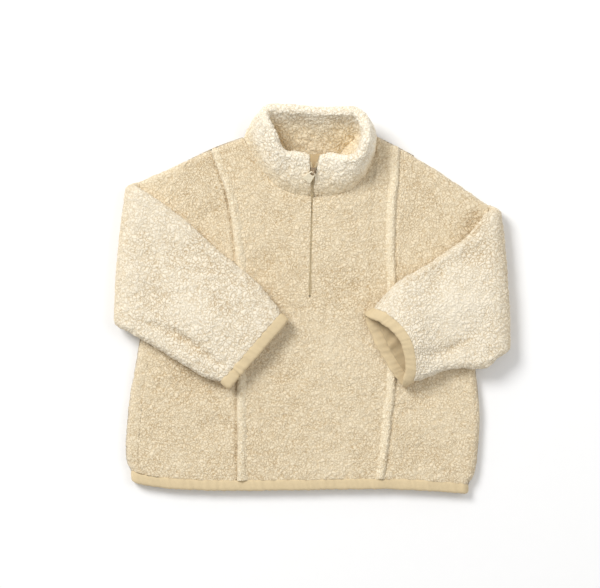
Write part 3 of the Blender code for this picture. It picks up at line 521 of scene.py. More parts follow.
def folded_edges():
    """Lines in plan where the cloth folds from front to back, each with the cloth on its right-hand side."""
    left = [(x, y) for y, x in sampled(LEFT_SIDE)]
    right = [(x, y) for y, x in sampled(RIGHT_SIDE)]
    left.append((LEFT_UPPER[-1].low_x, LEFT_UPPER[-1].low_y))
    right.append((RIGHT_UPPER[-1].low_x, RIGHT_UPPER[-1].low_y))
    return [left, right[::-1], sampled(LEFT_SHOULDER), sampled(RIGHT_SHOULDER)]


EDGES = folded_edges()


def body_points(x, y, side, out=0.0):
    """Points of the body's outer face, moved out along its normal. side is 1 on the front, -1 on the back."""
    nearest = np.full(x.shape, BODY_HALF)
    inward_x, inward_y = np.zeros(x.shape), np.zeros(x.shape)
    for line in EDGES:
        for (ax, ay), (bx, by) in zip(line, line[1:]):
            along_x, along_y = bx - ax, by - ay
            length = math.hypot(along_x, along_y)
            share = np.clip(((x - ax) * along_x + (y - ay) * along_y) / length**2, 0, 1)
            distance = np.hypot(x - ax - share * along_x, y - ay - share * along_y)
            closer = distance < nearest
            nearest = np.where(closer, distance, nearest)
            inward_x = np.where(closer, along_y / length, inward_x)
            inward_y = np.where(closer, -along_x / length, inward_y)
    half_gap = SEAM_GAP / 2
    level = 1 - np.maximum(nearest - half_gap, 0) / (BODY_HALF - half_gap)
    height = np.maximum((BODY_HALF + out) * np.sqrt(1 - level**2), half_gap)
    shift = -out * level
    return np.stack((x + inward_x * shift, y + inward_y * shift, BODY_HALF + side * height), axis=-1)


def panel_plan(left, right, shares, offsets, neck, step):
    """X and Y of a panel's points. A column lies at a share from left to right, moved by its offset."""
    shares, offsets = np.array(shares), np.array(offsets)

    def x_at(y):
        return blend(left(y), right(y), shares) + offsets

    bottom = through(HEM, x_at(np.full(shares.shape, HEM[0][1], float))) - EDGE_LAP
    low, high = bottom.copy(), np.full(shares.shape, LEFT_SHOULDER[-1][1] + BODY_HALF)
    for _ in range(HALVINGS):
        middle = (low + high) / 2
        above = top_of(neck, x_at(middle)) > middle
        low, high = np.where(above, middle, low), np.where(above, high, middle)
    slope = (top_of(neck, x_at(low) + 1) - top_of(neck, x_at(low) - 1)) / 2
    stretch = np.minimum(np.hypot(1, slope), ROUNDING_STRETCH)
    rounded = low - BODY_HALF * stretch
    below, beside = whole_cells(BELOW_ZIP, step), whole_cells(BESIDE_ZIP, step)
    rows = [blend(bottom, ZIP_LOW, share) for share in np.linspace(0, 1, below + 1)]
    rows += [blend(ZIP_LOW, rounded, share) for share in np.linspace(0, 1, beside + 1)[1:]]
    for angle in np.linspace(90, 0, whole_cells(ROUNDING, step) + 1)[1:]:
        rows.append(low - BODY_HALF * (1 - math.cos(math.radians(angle))) * stretch)
    y = np.array(rows)
    x = np.array([x_at(row) for row in rows])
    return x, y


def even(count):
    return [k / count for k in range(count + 1)]


def rounding(step):
    """How far in from a folded edge each column of its rounding lies, from the flat cloth out to the edge."""
    count = whole_cells(ROUNDING, step)
    return [BODY_HALF * (1 - math.cos(math.radians(90 * (1 - share)))) for share in even(count)]


# Sleeves and bindings


def fold_outward(last):
    """The direction in plan in which a sleeve's fold bulges, away from the body."""
    fold = unit(np.array((last.low_x - last.top_x, last.low_y - last.top_y, 0.0)))
    outward = np.array((-fold[1], fold[0], 0.0))
    return outward if outward[0] * last.top_x > 0 else -outward


def ring_places(layer, arc):
    """Round a flattened ring: how far down its straight run, past its ends and up, each as a share."""
    straight = np.linspace(0, 1, layer, endpoint=False)
    angles = np.linspace(90, -90, arc, endpoint=False)
    a = np.radians(angles)
    down = np.concatenate((straight, np.ones(arc), 1 - straight, np.zeros(arc)))
    past = np.concatenate((np.zeros(layer), np.cos(a), np.zeros(layer), -np.cos(a)))
    rise = np.concatenate((np.ones(layer), np.sin(a), -np.ones(layer), -np.sin(a)))
    return down, past, rise


def station_ring(station, turn, outward, inset, places, lift=0.0, armhole=None):
    """One flattened ring of a sleeve, its inner layer first. turn is how far it has gone round the fold."""
    down_share, past, rise = places
    top = np.array((station.top_x, station.top_y, 0.0))
    low = np.array((station.low_x, station.low_y, 0.0))
    length = np.linalg.norm(low - top)
    down = (low - top) / length
    inner = np.array((0, 0, math.cos(turn))) - outward * math.sin(turn)
    cuffward = np.array((down[1], -down[0], 0.0))
    if cuffward @ outward > 0:
        cuffward = -cuffward
    radius = BODY_HALF - inset
    distance = BODY_HALF + (length - 2 * BODY_HALF) * down_share + radius * past
    height = radius * rise
    belly = np.sin(np.pi * np.clip(distance / length, 0, 1)) ** BELLY_POWER
    points = top + down * distance[:, None]
    if armhole:
        points[:, 0] = armhole(points[:, 1])
    points += np.array((0, 0, station.underside + BODY_HALF + lift)) + inner * height[:, None]
    points += outward * (FOLD_BOW * belly * abs(math.sin(turn)))[:, None]
    if turn >= math.pi:
        upper = height < 0
        points[:, 2] += np.where(upper, (station.thick - 2 * BODY_HALF) * belly, 0)
        points[:, 2] -= (station.underside - BODY_TOP) * np.clip(rise, 0, 1) ** 0.5
        back = np.where(upper, station.upper_back, station.lower_back)
        points -= cuffward * (back * belly * np.minimum(np.abs(rise), 1))[:, None]
    return points


def forearm_ring(forearm, outward, t, inset, places):
    return station_ring(smooth_row(forearm, t), math.pi, outward, inset, places)


def sleeve_rings(upper, forearm, armhole, inset, places):
    """Rings from the armhole out to the fold, round it, and back along the forearm to the cuff."""
    last = upper[-1]
    outward = fold_outward(last)
    seam = offset(armhole, math.copysign(ARMHOLE_LAP, -last.top_x))
    rings = [station_ring(upper[0], 0, outward, inset, places, armhole=seam)]
    for t in UPPER_STEPS:
        rings.append(station_ring(smooth_row(upper, t), 0, outward, inset, places))
    for angle in FOLD_ANGLES:
        turn = math.radians(angle)
        mid = np.array([blend(a, b, angle / 180) for a, b in zip(last, forearm[0])])
        shift = outward * (FOLD_RADIUS * math.sin(turn))
        mid[:4] += (shift[0], shift[1], shift[0], shift[1])
        mid[4] = 0
        lift = FOLD_RADIUS * (1 - math.cos(turn))
        rings.append(station_ring(Station(*mid), turn, outward, inset, places, lift=lift))
    for share in even(FOREARM_STEPS):
        rings.append(forearm_ring(forearm, outward, share * (len(forearm) - 1), inset, places))
    rings[-1] = rings[-1] + unit(rings[-1] - rings[-2]) * EDGE_LAP * (1 - inset / FLEECE)
    return np.array(rings)


def refined(rings, step, measure=None):
    """Rings spaced evenly, on the smooth curves through the given ones. measure gives the spacing's rings."""
    measure = rings if measure is None else measure
    steps = np.linalg.norm(np.diff(measure, axis=0), axis=-1).mean(axis=1)
    places = np.concatenate(([0], np.cumsum(steps)))
    count = whole_cells(places[-1], step)
    return along(places, rings, np.linspace(0, places[-1], count + 1))


def profile_skin(ring, inner, aheads, profile, rows):
    """The rows of a binding, its profile laid along the ring of a fleece edge."""
    out = unit(ring - inner)
    reach = between_rows(profile, np.linspace(0, len(profile) - 1, rows))
    return np.array([ring + aheads * a + out * r for a, r in reach])


# Collar


def collar_centre(t, share):
    """Middle of the collar's wall at t round the neck, share of the way up. Its ends part towards the rim."""
    rib = smooth_row(COLLAR, t)
    by_zip = max(0.0, 1 - min(t, len(COLLAR) - 1 - t))
    parted = share ** blend(1.0, COLLAR_GAPE, by_zip)
    return np.array((
        blend(rib.base_x, rib.rim_x, parted),
        blend(rib.base_y, rib.rim_y, share),
        blend(rib.base_z, rib.rim_z, share),
    ))


def collar_section(t, share):
    """Centre of the collar's wall, its upward and outward directions, and half its thickness."""
    last = len(COLLAR) - 1
    run = collar_centre(min(t + COLLAR_NEAR, last), share) - collar_centre(max(t - COLLAR_NEAR, 0), share)
    up = unit(collar_centre(t, 1) - collar_centre(t, 0))
    out = unit(np.cross(up, run))
    centre = collar_centre(t, share) + out * (COLLAR_PUFF * math.sin(math.pi * share))
    return centre, up, out, blend(COLLAR_BASE, COLLAR_RIM, share) / 2


def collar_ring(t):
    """One closed section of the collar: up its outer face, over the rim, down its inner face, and back."""
    rib = smooth_row(COLLAR, t)
    fall = np.array((rib.in_x, rib.in_y, rib.in_z - COLLAR_SINK))
    outer, inner = [], []
    for share in np.linspace(0, 1, COLLAR_WALL, endpoint=False):
        centre, up, out, half = collar_section(t, share)
        foot = math.exp(-((share * COLLAR_FOOT) ** 2))
        spread = np.array((out[0], out[1], 0.0)) * (COLLAR_SPREAD * foot)
        outer.append(centre + out * half + spread - (0, 0, COLLAR_TUCK * foot))
        inner.append(centre - out * half + fall * (1 - share) ** COLLAR_FALL)
    seam = blend(outer[0], inner[0] - fall, COLLAR_SEAM)
    outer[0] = outer[0] - up
    centre, up, out, half = collar_section(t, 1)
    angles = np.radians(np.linspace(0, 180, COLLAR_OVER + 1))
    over = [centre + (out * math.cos(a) + up * math.sin(a)) * half for a in angles]
    foot = [blend(inner[0], seam, share) for share in even(COLLAR_UNDER)[1:]]
    foot += [blend(seam, outer[0], share) for share in even(COLLAR_UNDER)[1:-1]]
    return np.array(outer + over + inner[::-1] + foot)


# Meshes


def lying(grid, closed):
    """Lengths along the columns and across the rows, in metres, for finishes that follow the cloth."""
    wide = np.linalg.norm(np.diff(grid, axis=1), axis=-1).mean(axis=0)
    tall = np.linalg.norm(np.diff(grid, axis=0), axis=-1).mean(axis=1)
    u = np.concatenate(([0], np.cumsum(wide)))
    v = np.concatenate(([0], np.cumsum(tall)))
    flat = np.zeros(grid.shape[:2])
    return np.stack((flat + u[: flat.shape[1]], flat + v[:, None], flat), -1) * MM


def middles(rings, axis=1):
    """The middle of each ring, at every one of its points."""
    return rings.mean(axis=axis, keepdims=True) + 0 * rings


def no_cells(grid):
    """Marks for the cells of a wall's inner skin, all of them with cloth."""
    return np.zeros(((len(grid) - 1) // STRIDE, (grid.shape[1] - 1) // STRIDE), bool)


def new_piece(name, points, faces, finish, fields):
    """An object of points in millimetres, with its finish and its fields of values by point."""
    name += "_cloth" if name in frame["nodes"] else ""
    mesh = bpy.data.meshes.new(name)
    mesh.from_pydata(((points + PLACE) * MM).tolist(), [], faces)
    mesh.update()
    for field, values in fields.items():
        kind, held = ("FLOAT_VECTOR", "vector") if values.ndim == 2 else ("FLOAT", "value")
        attribute = mesh.attributes.new(field, kind, "POINT")
        attribute.data.foreach_set(held, values.astype(np.float32).ravel())
    mesh.materials.append(finish)
    mesh.shade_smooth()
    piece = bpy.data.objects.new(name, mesh)
    bpy.context.scene.collection.objects.link(piece)
    return piece


def wall(name, outer, inner, finish, out=None, depth_and_shade=None, closed=False, absent=None):
    """A closed wall of cloth: a fine outer skin, a plain inner skin, and a rim round each edge.

    The inner skin takes every STRIDE-th point of its grid. absent marks the cells of that size with no cloth.
    """
    rows, columns = outer.shape[:2]
    under = inner[::STRIDE, ::STRIDE]
    outer_at = np.arange(rows * columns).reshape(rows, columns)
    under_at = rows * columns + np.arange(under.shape[0] * under.shape[1]).reshape(under.shape[:2])
    tall = (rows - 1) // STRIDE
    wide = columns // STRIDE if closed else (columns - 1) // STRIDE
    here = np.ones((tall, wide), bool)
    if absent is not None:
        here &= ~absent
    fine = here.repeat(STRIDE, axis=0).repeat(STRIDE, axis=1)
    faces = cells(outer_at, wide * STRIDE)[fine].tolist()
    faces += cells(under_at, wide)[here][:, ::-1].tolist()
    for J, I in np.argwhere(here):
        j0, i0 = J * STRIDE, I * STRIDE
        span = [(i0 + k) % columns for k in range(STRIDE + 1)]
        sides = (
            (J - 1, I, [outer_at[j0, a] for a in span]),
            (J, I + 1, [outer_at[j0 + k, span[-1]] for k in range(STRIDE + 1)]),
            (J + 1, I, [outer_at[j0 + STRIDE, a] for a in span[::-1]]),
            (J, I - 1, [outer_at[j0 + STRIDE - k, span[0]] for k in range(STRIDE + 1)]),
        ) if on_rim(here, J, I, closed) else ()
        N = (I + 1) % under.shape[1]
        corners = (under_at[J, I], under_at[J, N], under_at[J + 1, N], under_at[J + 1, I])
        for k, (nj, ni, path) in enumerate(sides):
            if closed:
                ni %= wide
            if not (0 <= nj < tall and 0 <= ni < wide and here[nj, ni]):
                faces.append((*path[::-1], corners[k], corners[(k + 1) % 4]))
    points = np.concatenate((outer.reshape(-1, 3), under.reshape(-1, 3)))
    grid_out = np.cross(np.gradient(outer, axis=1), np.gradient(outer, axis=0))
    if np.median((grid_out * (outer - inner)).sum(-1)) < 0:
        faces = [face[::-1] for face in faces]
    if out is None:
        lie = lying(outer, closed)
        fields = {"lie": np.concatenate((lie.reshape(-1, 3), lie[::STRIDE, ::STRIDE].reshape(-1, 3)))}
    else:
        fields = {"out": np.concatenate((out.reshape(-1, 3), np.zeros((len(points) - rows * columns, 3))))}
    # The depth of creases, grooves, gathers and folds, which the finishes turn into painted shade.
    if depth_and_shade is not None:
        fields["depth_and_shade"] = np.concatenate((depth_and_shade.ravel(), np.zeros(len(points) - rows * columns)))
    used = np.zeros(len(points), bool)
    for face in faces:
        used[list(face)] = True
    new_at = (np.cumsum(used) - 1).tolist()
    faces = [[new_at[v] for v in face] for face in faces]
    return new_piece(name, points[used], faces, finish, {key: value[used] for key, value in fields.items()})


def cells(at, wide):
    """The corners of each cell of a grid of point numbers, its last column followed by its first."""
    after = np.roll(at, -1, axis=1)
    return np.stack((at[:-1], after[:-1], after[1:], at[1:]), axis=-1)[:, :wide]


def on_rim(here, row, column, closed):
    """Whether a cell has an edge of the cloth on any side."""
    tall, wide = here.shape
    beside = [(row - 1, column), (row + 1, column), (row, column - 1), (row, column + 1)]
    if closed:
        beside = [(r, c % wide) for r, c in beside]
    return not all(0 <= r < tall and 0 <= c < wide and here[r, c] for r, c in beside)


def tube(name, rings, finish, out=None, depth_and_shade=None):
    """A solid through closed rings, capped at both ends."""
    rows, columns = rings.shape[:2]
    at = np.arange(rows * columns).reshape(rows, columns)
    faces = cells(at, columns).reshape(-1, 4).tolist()
    faces.append(at[0][::-1].tolist())
    faces.append(at[-1].tolist())
    centre = rings.mean(axis=1, keepdims=True)
    across = np.roll(rings, -1, axis=1) - np.roll(rings, 1, axis=1)
    outward = np.cross(across, np.gradient(rings, axis=0))
    if np.median((outward * (rings - centre)).sum(-1)) < 0:
        faces = [face[::-1] for face in faces]
    fields = {} if out is None else {"out": out.reshape(-1, 3)}
    if depth_and_shade is not None:
        fields["depth_and_shade"] = depth_and_shade.ravel()
    return new_piece(name, rings.reshape(-1, 3), faces, finish, fields)


def raise_pile(piece, settings, size):
    """Raises the curls of a piece along its outward directions, and keeps where each point was as "rest"."""
    tree = bpy.data.node_groups.new("pile", "GeometryNodeTree")
    for side in ("INPUT", "OUTPUT"):
        tree.interface.new_socket("Geometry", in_out=side, socket_type="NodeSocketGeometry")
    nodes = Nodes(tree)
    vectors = {"data_type": "FLOAT_VECTOR"}
    place = nodes.add("GeometryNodeInputPosition")
    given = nodes.add("NodeGroupInput")
    stored = {"Geometry": given, "Name": "rest", "Value": place}
    kept = nodes.add("GeometryNodeStoreNamedAttribute", vectors, stored)
    out = nodes.add("GeometryNodeInputNamedAttribute", vectors, {"Name": "out"})
    depth = (pile_height(nodes, place, settings.curl_size * size) - 1) * (settings.curl_height * size)
    moved = nodes.add(
        "GeometryNodeSetPosition", None, {"Geometry": kept, "Offset": nodes.vector("SCALE", out, Scale=depth)}
    )
    nodes.put(moved, tree.nodes.new("NodeGroupOutput").inputs[0])
    raising = piece.modifiers.new("pile", "NODES")
    raising.node_group = tree
    graph = bpy.context.evaluated_depsgraph_get()
    plain = piece.data
    raised = bpy.data.meshes.new_from_object(piece.evaluated_get(graph))
    piece.modifiers.remove(raising)
    piece.data = raised
    raised.attributes.remove(raised.attributes["out"])
    bpy.data.meshes.remove(plain)
    bpy.data.node_groups.remove(tree)


def dress(piece, node):
    """Puts a piece on the garment in place of a node, whose solid it hides."""
    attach(piece, "garment")
    if node:
        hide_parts(node)


def fleece_wall(
    name, outer, inner, settings, part, seed, sewn, creases, absent=None, closed=False, groove=0.0
):
    """A piece of fleece that is a wall of cloth, with its pile raised. It stays above the floor."""
    skin, out, depth_and_shade = pile(outer, inner, settings, seed, sewn, creases, closed, groove)
    skin[..., 2] = np.maximum(skin[..., 2], 0.0)
    piece = wall(name, skin, inner, fleece_finishes(settings)[part], out, depth_and_shade, closed, absent)
    raise_pile(piece, settings, FLEECES[part][0])
    dress(piece, name)
    return piece


# Finishes


def dimmed(colour, share):
    return tuple(channel * share for channel in colour)


class Socket:
    """The output of a node. Sums with it add Math nodes."""

    def __init__(self, nodes, socket):
        self.nodes = nodes
        self.socket = socket

    def math(self, operation, *others):
        return self.nodes.add("ShaderNodeMath", {"operation": operation}, dict(enumerate((self, *others))))

    def __add__(self, other):
        return self.math("ADD", other)

    __radd__ = __add__

    def __sub__(self, other):
        return self.math("SUBTRACT", other)

    def __mul__(self, other):
        return self.math("MULTIPLY", other)

    __rmul__ = __mul__

    def __truediv__(self, other):
        return self.math("DIVIDE", other)

    def __pow__(self, other):
        return self.math("POWER", other)

    def least(self, other):
        return self.math("MINIMUM", other)

    def sine(self):
        return self.math("SINE")

    def from_to(self, low, high):
        """0 below low, 1 above high, and smooth between."""
        sockets = {"Value": self, "From Min": low, "From Max": high}
        return self.nodes.add("ShaderNodeMapRange", {"interpolation_type": "SMOOTHSTEP"}, sockets)


class Nodes:
    """A tree whose nodes are added one by one."""

    def __init__(self, tree):
        self.tree = tree

    def add(self, kind, settings=None, sockets=None, output=0):
        """A node of a type, its settings set first, then its sockets. Returns one of its outputs."""
        node = self.tree.nodes.new(kind)
        for key, value in (settings or {}).items():
            setattr(node, key, value)
        for key, value in (sockets or {}).items():
            self.put(value, node.inputs[key])
        return Socket(self, node.outputs[output])

    def put(self, value, socket):
        if isinstance(value, Socket):
            self.tree.links.new(value.socket, socket)
        elif socket.type == "RGBA":
            socket.default_value = (*value, 1.0)
        else:
            socket.default_value = value

    def mixed(self, factor, first, second, blend_type="MIX"):
        settings = {"data_type": "RGBA", "blend_type": blend_type}
        return self.add("ShaderNodeMix", settings, {0: factor, 6: first, 7: second}, output=2)

    def vector(self, operation, *values, **named):
        sockets = {**dict(enumerate(values)), **named}
        return self.add("ShaderNodeVectorMath", {"operation": operation}, sockets)

    def noise(self, at, scale, detail=2.0, roughness=0.5, output=0):
        sockets = {"Vector": at, "Scale": scale, "Detail": detail, "Roughness": roughness}
        return self.add("ShaderNodeTexNoise", None, sockets, output)

    def cell_edges(self, at, scale):
        """Distance from the nearest edge between cells that are scattered through space."""
        settings = {"feature": "DISTANCE_TO_EDGE"}
        return self.add("ShaderNodeTexVoronoi", settings, {"Vector": at, "Scale": scale})


class Finish(Nodes):
    """A material with constants on its shader, whose nodes feed what varies."""

    def __init__(self, name, **constants):
        self.material = bpy.data.materials.new(name)
        self.material.use_nodes = True
        super().__init__(self.material.node_tree)
        self.shader = self.tree.nodes["Principled BSDF"]
        for socket, value in constants.items():
            self.shader.inputs[socket.replace("_", " ")].default_value = value

    def attribute(self, name, output):
        return self.add("ShaderNodeAttribute", {"attribute_name": name}, output=output)

    def place(self):
        return self.add("ShaderNodeTexCoord", output=3)

    def bump(self, height, distance):
        normal = self.add("ShaderNodeBump", None, {"Height": height, "Distance": distance, "Strength": 1.0})
        self.put(normal, self.shader.inputs["Normal"])

    def show(self, **links):
        for socket, value in links.items():
            self.put(value, self.shader.inputs[socket.replace("_", " ")])


def pile_height(nodes, place, size):
    """Height of the pile, 0 in its crevices and 1 on its curls. Winding crevices part uneven cells."""
    wander = nodes.vector("SUBTRACT", nodes.noise(place, 0.7 / size, 1.0, output=1), (0.5, 0.5, 0.5))
    bent = nodes.vector("ADD", place, nodes.vector("SCALE", wander, Scale=size * 2.4))
    edge = nodes.cell_edges(bent, 1 / size)
    return (edge / 0.24).least(1.0) ** 0.6


def fleece_finish(name, settings, size, painted_light, painted_tint, low_painted_tint=None, heights=None):
    """Curly pile: winding crevices between pale curls, darkened with painted shade, with soft clumps of
    slightly different tones, and each piece lightened and tinted as painted light and shade.

    heights are the heights over the floor between which low_painted_tint turns into painted_tint, as painted
    light on the higher cloth.
    """
    finish = Finish(name, Roughness=0.92, Sheen_Weight=0.2, Sheen_Roughness=0.6)
    place = finish.attribute("rest", 1)
    curl = settings.curl_size * size
    height = pile_height(finish, place, curl)
    clump = finish.noise(place, 0.28 / curl, 2.0)
    broad = finish.noise(place, 10.0, 2.0)
    fibre = finish.noise(place, 1400.0, 2.0)
    # Painted shade and light: crease and groove depth darkens the pile, and ridges (negative depth) lighten
    # it.
    depth_and_shade = finish.attribute("depth_and_shade", 2)
    shade = height + (clump - 0.5) * 0.55 + (broad - 0.5) * 0.5 + (fibre - 0.5) * 0.15 - depth_and_shade * 0.07 + painted_light
    # Painted shade: the colour darkens from the curl tops down into the crevices.
    colour = finish.mixed(shade.from_to(0.0, 0.55), tuple(settings.deep), tuple(settings.middle))
    colour = finish.mixed(shade.from_to(0.4, 1.1), colour, tuple(settings.light))
    # Painted light and shade: higher cloth turns lighter and whiter, lower cloth stays darker and warmer.
    if low_painted_tint:
        high = finish.add("ShaderNodeSeparateXYZ", None, {0: place}, output=2)
        painted_tint = finish.mixed(high.from_to(*heights), low_painted_tint, painted_tint)
    colour = finish.mixed(1.0, colour, painted_tint, "MULTIPLY")
    finish.show(Base_Color=colour, Roughness=0.86 + fibre * 0.1)
    finish.bump(height + fibre * 0.15, settings.curl_height * 0.35)
    return finish.material


def woven_finish(name, colour, shade, thread=0.00055):
    """Plain weave: threads both ways, finer slubs along them, a slightly uneven tone, and painted shade in
    the valleys of gathers and folds.
    """
    finish = Finish(name, Roughness=0.8, Sheen_Weight=0.12)
    place = finish.place()
    lie = finish.attribute("lie", 1)
    turn = 2 * math.pi / thread
    warp = (finish.add("ShaderNodeSeparateXYZ", None, {0: lie}) * turn).sine()
    weft = (finish.add("ShaderNodeSeparateXYZ", None, {0: lie}, output=1) * turn).sine()
    weave = warp * weft * 0.5 + 0.5
    slub = finish.noise(place, 420.0, 3.0, 0.6)
    soft = finish.noise(place, 90.0, 2.0)
    # Painted shade: darker where the depth attribute is high, in the valleys of gathers and folds.
    mask = weave * 0.35 + slub * 0.45 + soft * 0.2 - finish.attribute("depth_and_shade", 2) * 0.2
    shown = finish.mixed(mask.from_to(0.15, 0.75), dimmed(colour, shade), colour)
    finish.show(Base_Color=shown, Roughness=0.74 + slub * 0.15)
    finish.bump(weave * 0.5 + slub * 0.5, thread * 0.35)
    return finish.material


def coil_finish(colour):
    finish = Finish("zip_coil_nylon", Roughness=0.6)
    wear = finish.noise(finish.place(), 900.0, 2.0)
    shown = finish.mixed(wear.from_to(0.3, 0.7), dimmed(colour, 0.8), colour)
    finish.show(Base_Color=shown, Roughness=0.55 + wear * 0.15)
    finish.bump(wear, 0.00004)
    return finish.material


def enamel_finish(name, colour, roughness, metallic=0.0):
    """Painted metal: nearly even, with faint rubbing and orange peel."""
    finish = Finish(name, Roughness=roughness, Metallic=metallic, Coat_Weight=0.25, Coat_Roughness=0.2)
    place = finish.place()
    rub = finish.noise(place, 700.0, 3.0, 0.6)
    peel = finish.noise(place, 2600.0, 1.0)
    shown = finish.mixed(rub.from_to(0.35, 0.6), dimmed(colour, 0.82), colour)
    finish.show(Base_Color=shown, Roughness=roughness - 0.05 + rub * 0.14)
    finish.bump(peel * 0.5 + rub * 0.5, 0.00003)
    return finish.material


def floor_finish(colour):
    finish = Finish("floor_matt", Roughness=0.9)
    grain = finish.noise(finish.place(), 60.0, 3.0)
    finish.show(Base_Color=finish.mixed(grain, dimmed(colour, 0.985), colour))
    return finish.material


# Sizes of the curls on the body, sleeves and collar, as shares of the curl size.
BODY_CURL, SLEEVE_CURL, COLLAR_CURL = 0.85, 1.05, 1.15

# Painted light and shade: how much red, green and blue each piece's fleece sends back, as shares of the
# pile's colours. The body is darker and warmer as painted shade, the raised laps, sleeves and collar rim
# lighter and whiter as painted light. Between two heights over the floor a sleeve turns from the body's
# painted shade to its own painted light, and the collar from its foot's warm painted shade to its rim's
# painted light.
BODY_SHADE_TINT = (0.885, 0.82, 0.71)
LAP_LIGHT_TINT = (0.98, 0.93, 0.83)
SLEEVE_LIGHT_TINT = (0.935, 0.915, 0.885)
COLLAR_SHADE_TINT, RIM_LIGHT_TINT = (1.02, 0.955, 0.83), (1.05, 1.05, 1.05)
SLEEVE_LIGHT_HEIGHTS, COLLAR_LIGHT_HEIGHTS = (0.015, 0.035), (0.018, 0.045)
# Each fleece finish: its curls, how much painted light lightens it, its painted tint, and the painted tint
# and heights it turns from.
FLEECES = {
    "body": (BODY_CURL, 0.0, BODY_SHADE_TINT),
    "lap": (BODY_CURL, 0.08, LAP_LIGHT_TINT),
    "sleeve": (SLEEVE_CURL, 0.06, SLEEVE_LIGHT_TINT, BODY_SHADE_TINT, SLEEVE_LIGHT_HEIGHTS),
    "collar": (COLLAR_CURL, 0.1, RIM_LIGHT_TINT, COLLAR_SHADE_TINT, COLLAR_LIGHT_HEIGHTS),
}
FINISHES = {}


def fleece_finishes(settings):
    if not FINISHES:
        for part, looks in FLEECES.items():
            FINISHES[part] = fleece_finish("fleece_" + part, settings, *looks)
    return FINISHES


# Operators


class PULLOVER_OT_panels(bpy.types.Operator):
    """Make the front and back panels of the body"""

    bl_idname = "pullover.panels"
    bl_label = "Body panels"

    def execute(self, context):
        settings = context.scene.pullover_fleece
        step = settings.spacing / MM
        self.side_panels(settings, step)
        self.centre_panel(settings, step)
        self.back_panel(settings, step * COARSER_BACK)
        return {"FINISHED"}

    def panel(self, name, x, y, settings, seed, sewn, absent=None, groove=0.0):
        skins = body_points(x, y, 1), body_points(x, y, 1, -FLEECE)
        return fleece_wall(name, *skins, settings, "body", seed, sewn, BODY_CREASES, absent, groove=groove)

    def side_panels(self, settings, step):
        """Each has a shallow groove beside the lap that lies over its edge."""
        left, right = even(whole_cells(SIDE_LEFT_WIDE, step)), even(whole_cells(SIDE_RIGHT_WIDE, step))
        rounded = rounding(step)[1:]
        moved = [-BODY_HALF * share for share in right] + [-r for r in rounded]
        left_plan = panel_plan(
            offset(left_side_seam, -PILE_LAP), offset(left_seam, PILE_LAP),
            left, [0.0] * len(left), NECK_FRONT, step,
        )
        right_plan = panel_plan(
            offset(right_seam, -PILE_LAP), right_edge, right + [1.0] * len(rounded), moved, NECK_FRONT, step
        )
        for name, (x, y), seam, deep, seed, sewn, flat in (
            ("left", left_plan, offset(left_seam, -GROOVE_OUT), LEFT_GROOVE, 11, "LRBT", (0.115, 0.365)),
            ("right", right_plan, offset(right_seam, GROOVE_OUT), RIGHT_GROOVE, 23, "LBT", (0.115, 0.37)),
        ):
            groove = deep * np.exp(-(((x - seam(y)) / GROOVE_WIDE) ** 2))
            piece = self.panel("front_side_panel_" + name, x, y, settings, seed, sewn, groove=groove)

    def centre_panel(self, settings, step):
        """Its columns go to the slot, over it and on, and the slot's cells have no cloth beside the zip."""
        slot_left, slot_right = slot_edge(-1), slot_edge(1)
        first, second = whole_cells(CENTRE_LEFT_WIDE, step), whole_cells(CENTRE_RIGHT_WIDE, step)
        parts = [
            panel_plan(left, right, shares, [0.0] * len(shares), NECK_FRONT, step)
            for left, right, shares in (
                (offset(left_seam, -PILE_LAP), slot_left, even(first)),
                (slot_left, slot_right, even(STRIDE)[1:-1]),
                (slot_right, offset(right_seam, PILE_LAP), even(second)),
            )
        ]
        x, y = np.concatenate(parts, axis=2)
        absent = no_cells(x)
        absent[whole_cells(BELOW_ZIP, step) // STRIDE :, first // STRIDE] = True
        centre = self.panel("front_centre_panel", x, y, settings, 37, "LRBT", absent)

    def back_panel(self, settings, step):
        """It comes round the left edge as far as the side seam."""
        over = even(whole_cells(TURN_WIDE, step))
        x, y = panel_plan(left_side_seam, left_edge, over, [0.0] * len(over), NECK_FRONT, step)
        front_outer, front_inner = body_points(x, y, 1), body_points(x, y, 1, -FLEECE)
        edge, middle = rounding(step), even(whole_cells(BACK_WIDE, step))
        shares = [0.0] * (len(edge) - 1) + middle + [1.0] * (len(edge) - 1)
        offsets = edge[:0:-1] + [BODY_HALF * (1 - 2 * share) for share in middle] + [-r for r in edge[1:]]
        x, y = panel_plan(left_edge, right_edge, shares, offsets, NECK_BACK, step)
        outer = np.concatenate((front_outer[:, :-1], body_points(x, y, -1)), axis=1)
        inner = np.concatenate((front_inner[:, :-1], body_points(x, y, -1, -FLEECE)), axis=1)
        absent = no_cells(outer)
        above = int(np.argmax(y[:, 0] > SIDE_SEAM_IN[-1][0])) // STRIDE + 1
        absent[above:, : (len(over) - 1) // STRIDE] = True
        back = fleece_wall("back_panel", outer, inner, settings, "body", 51, "LBT", BODY_CREASES, absent)


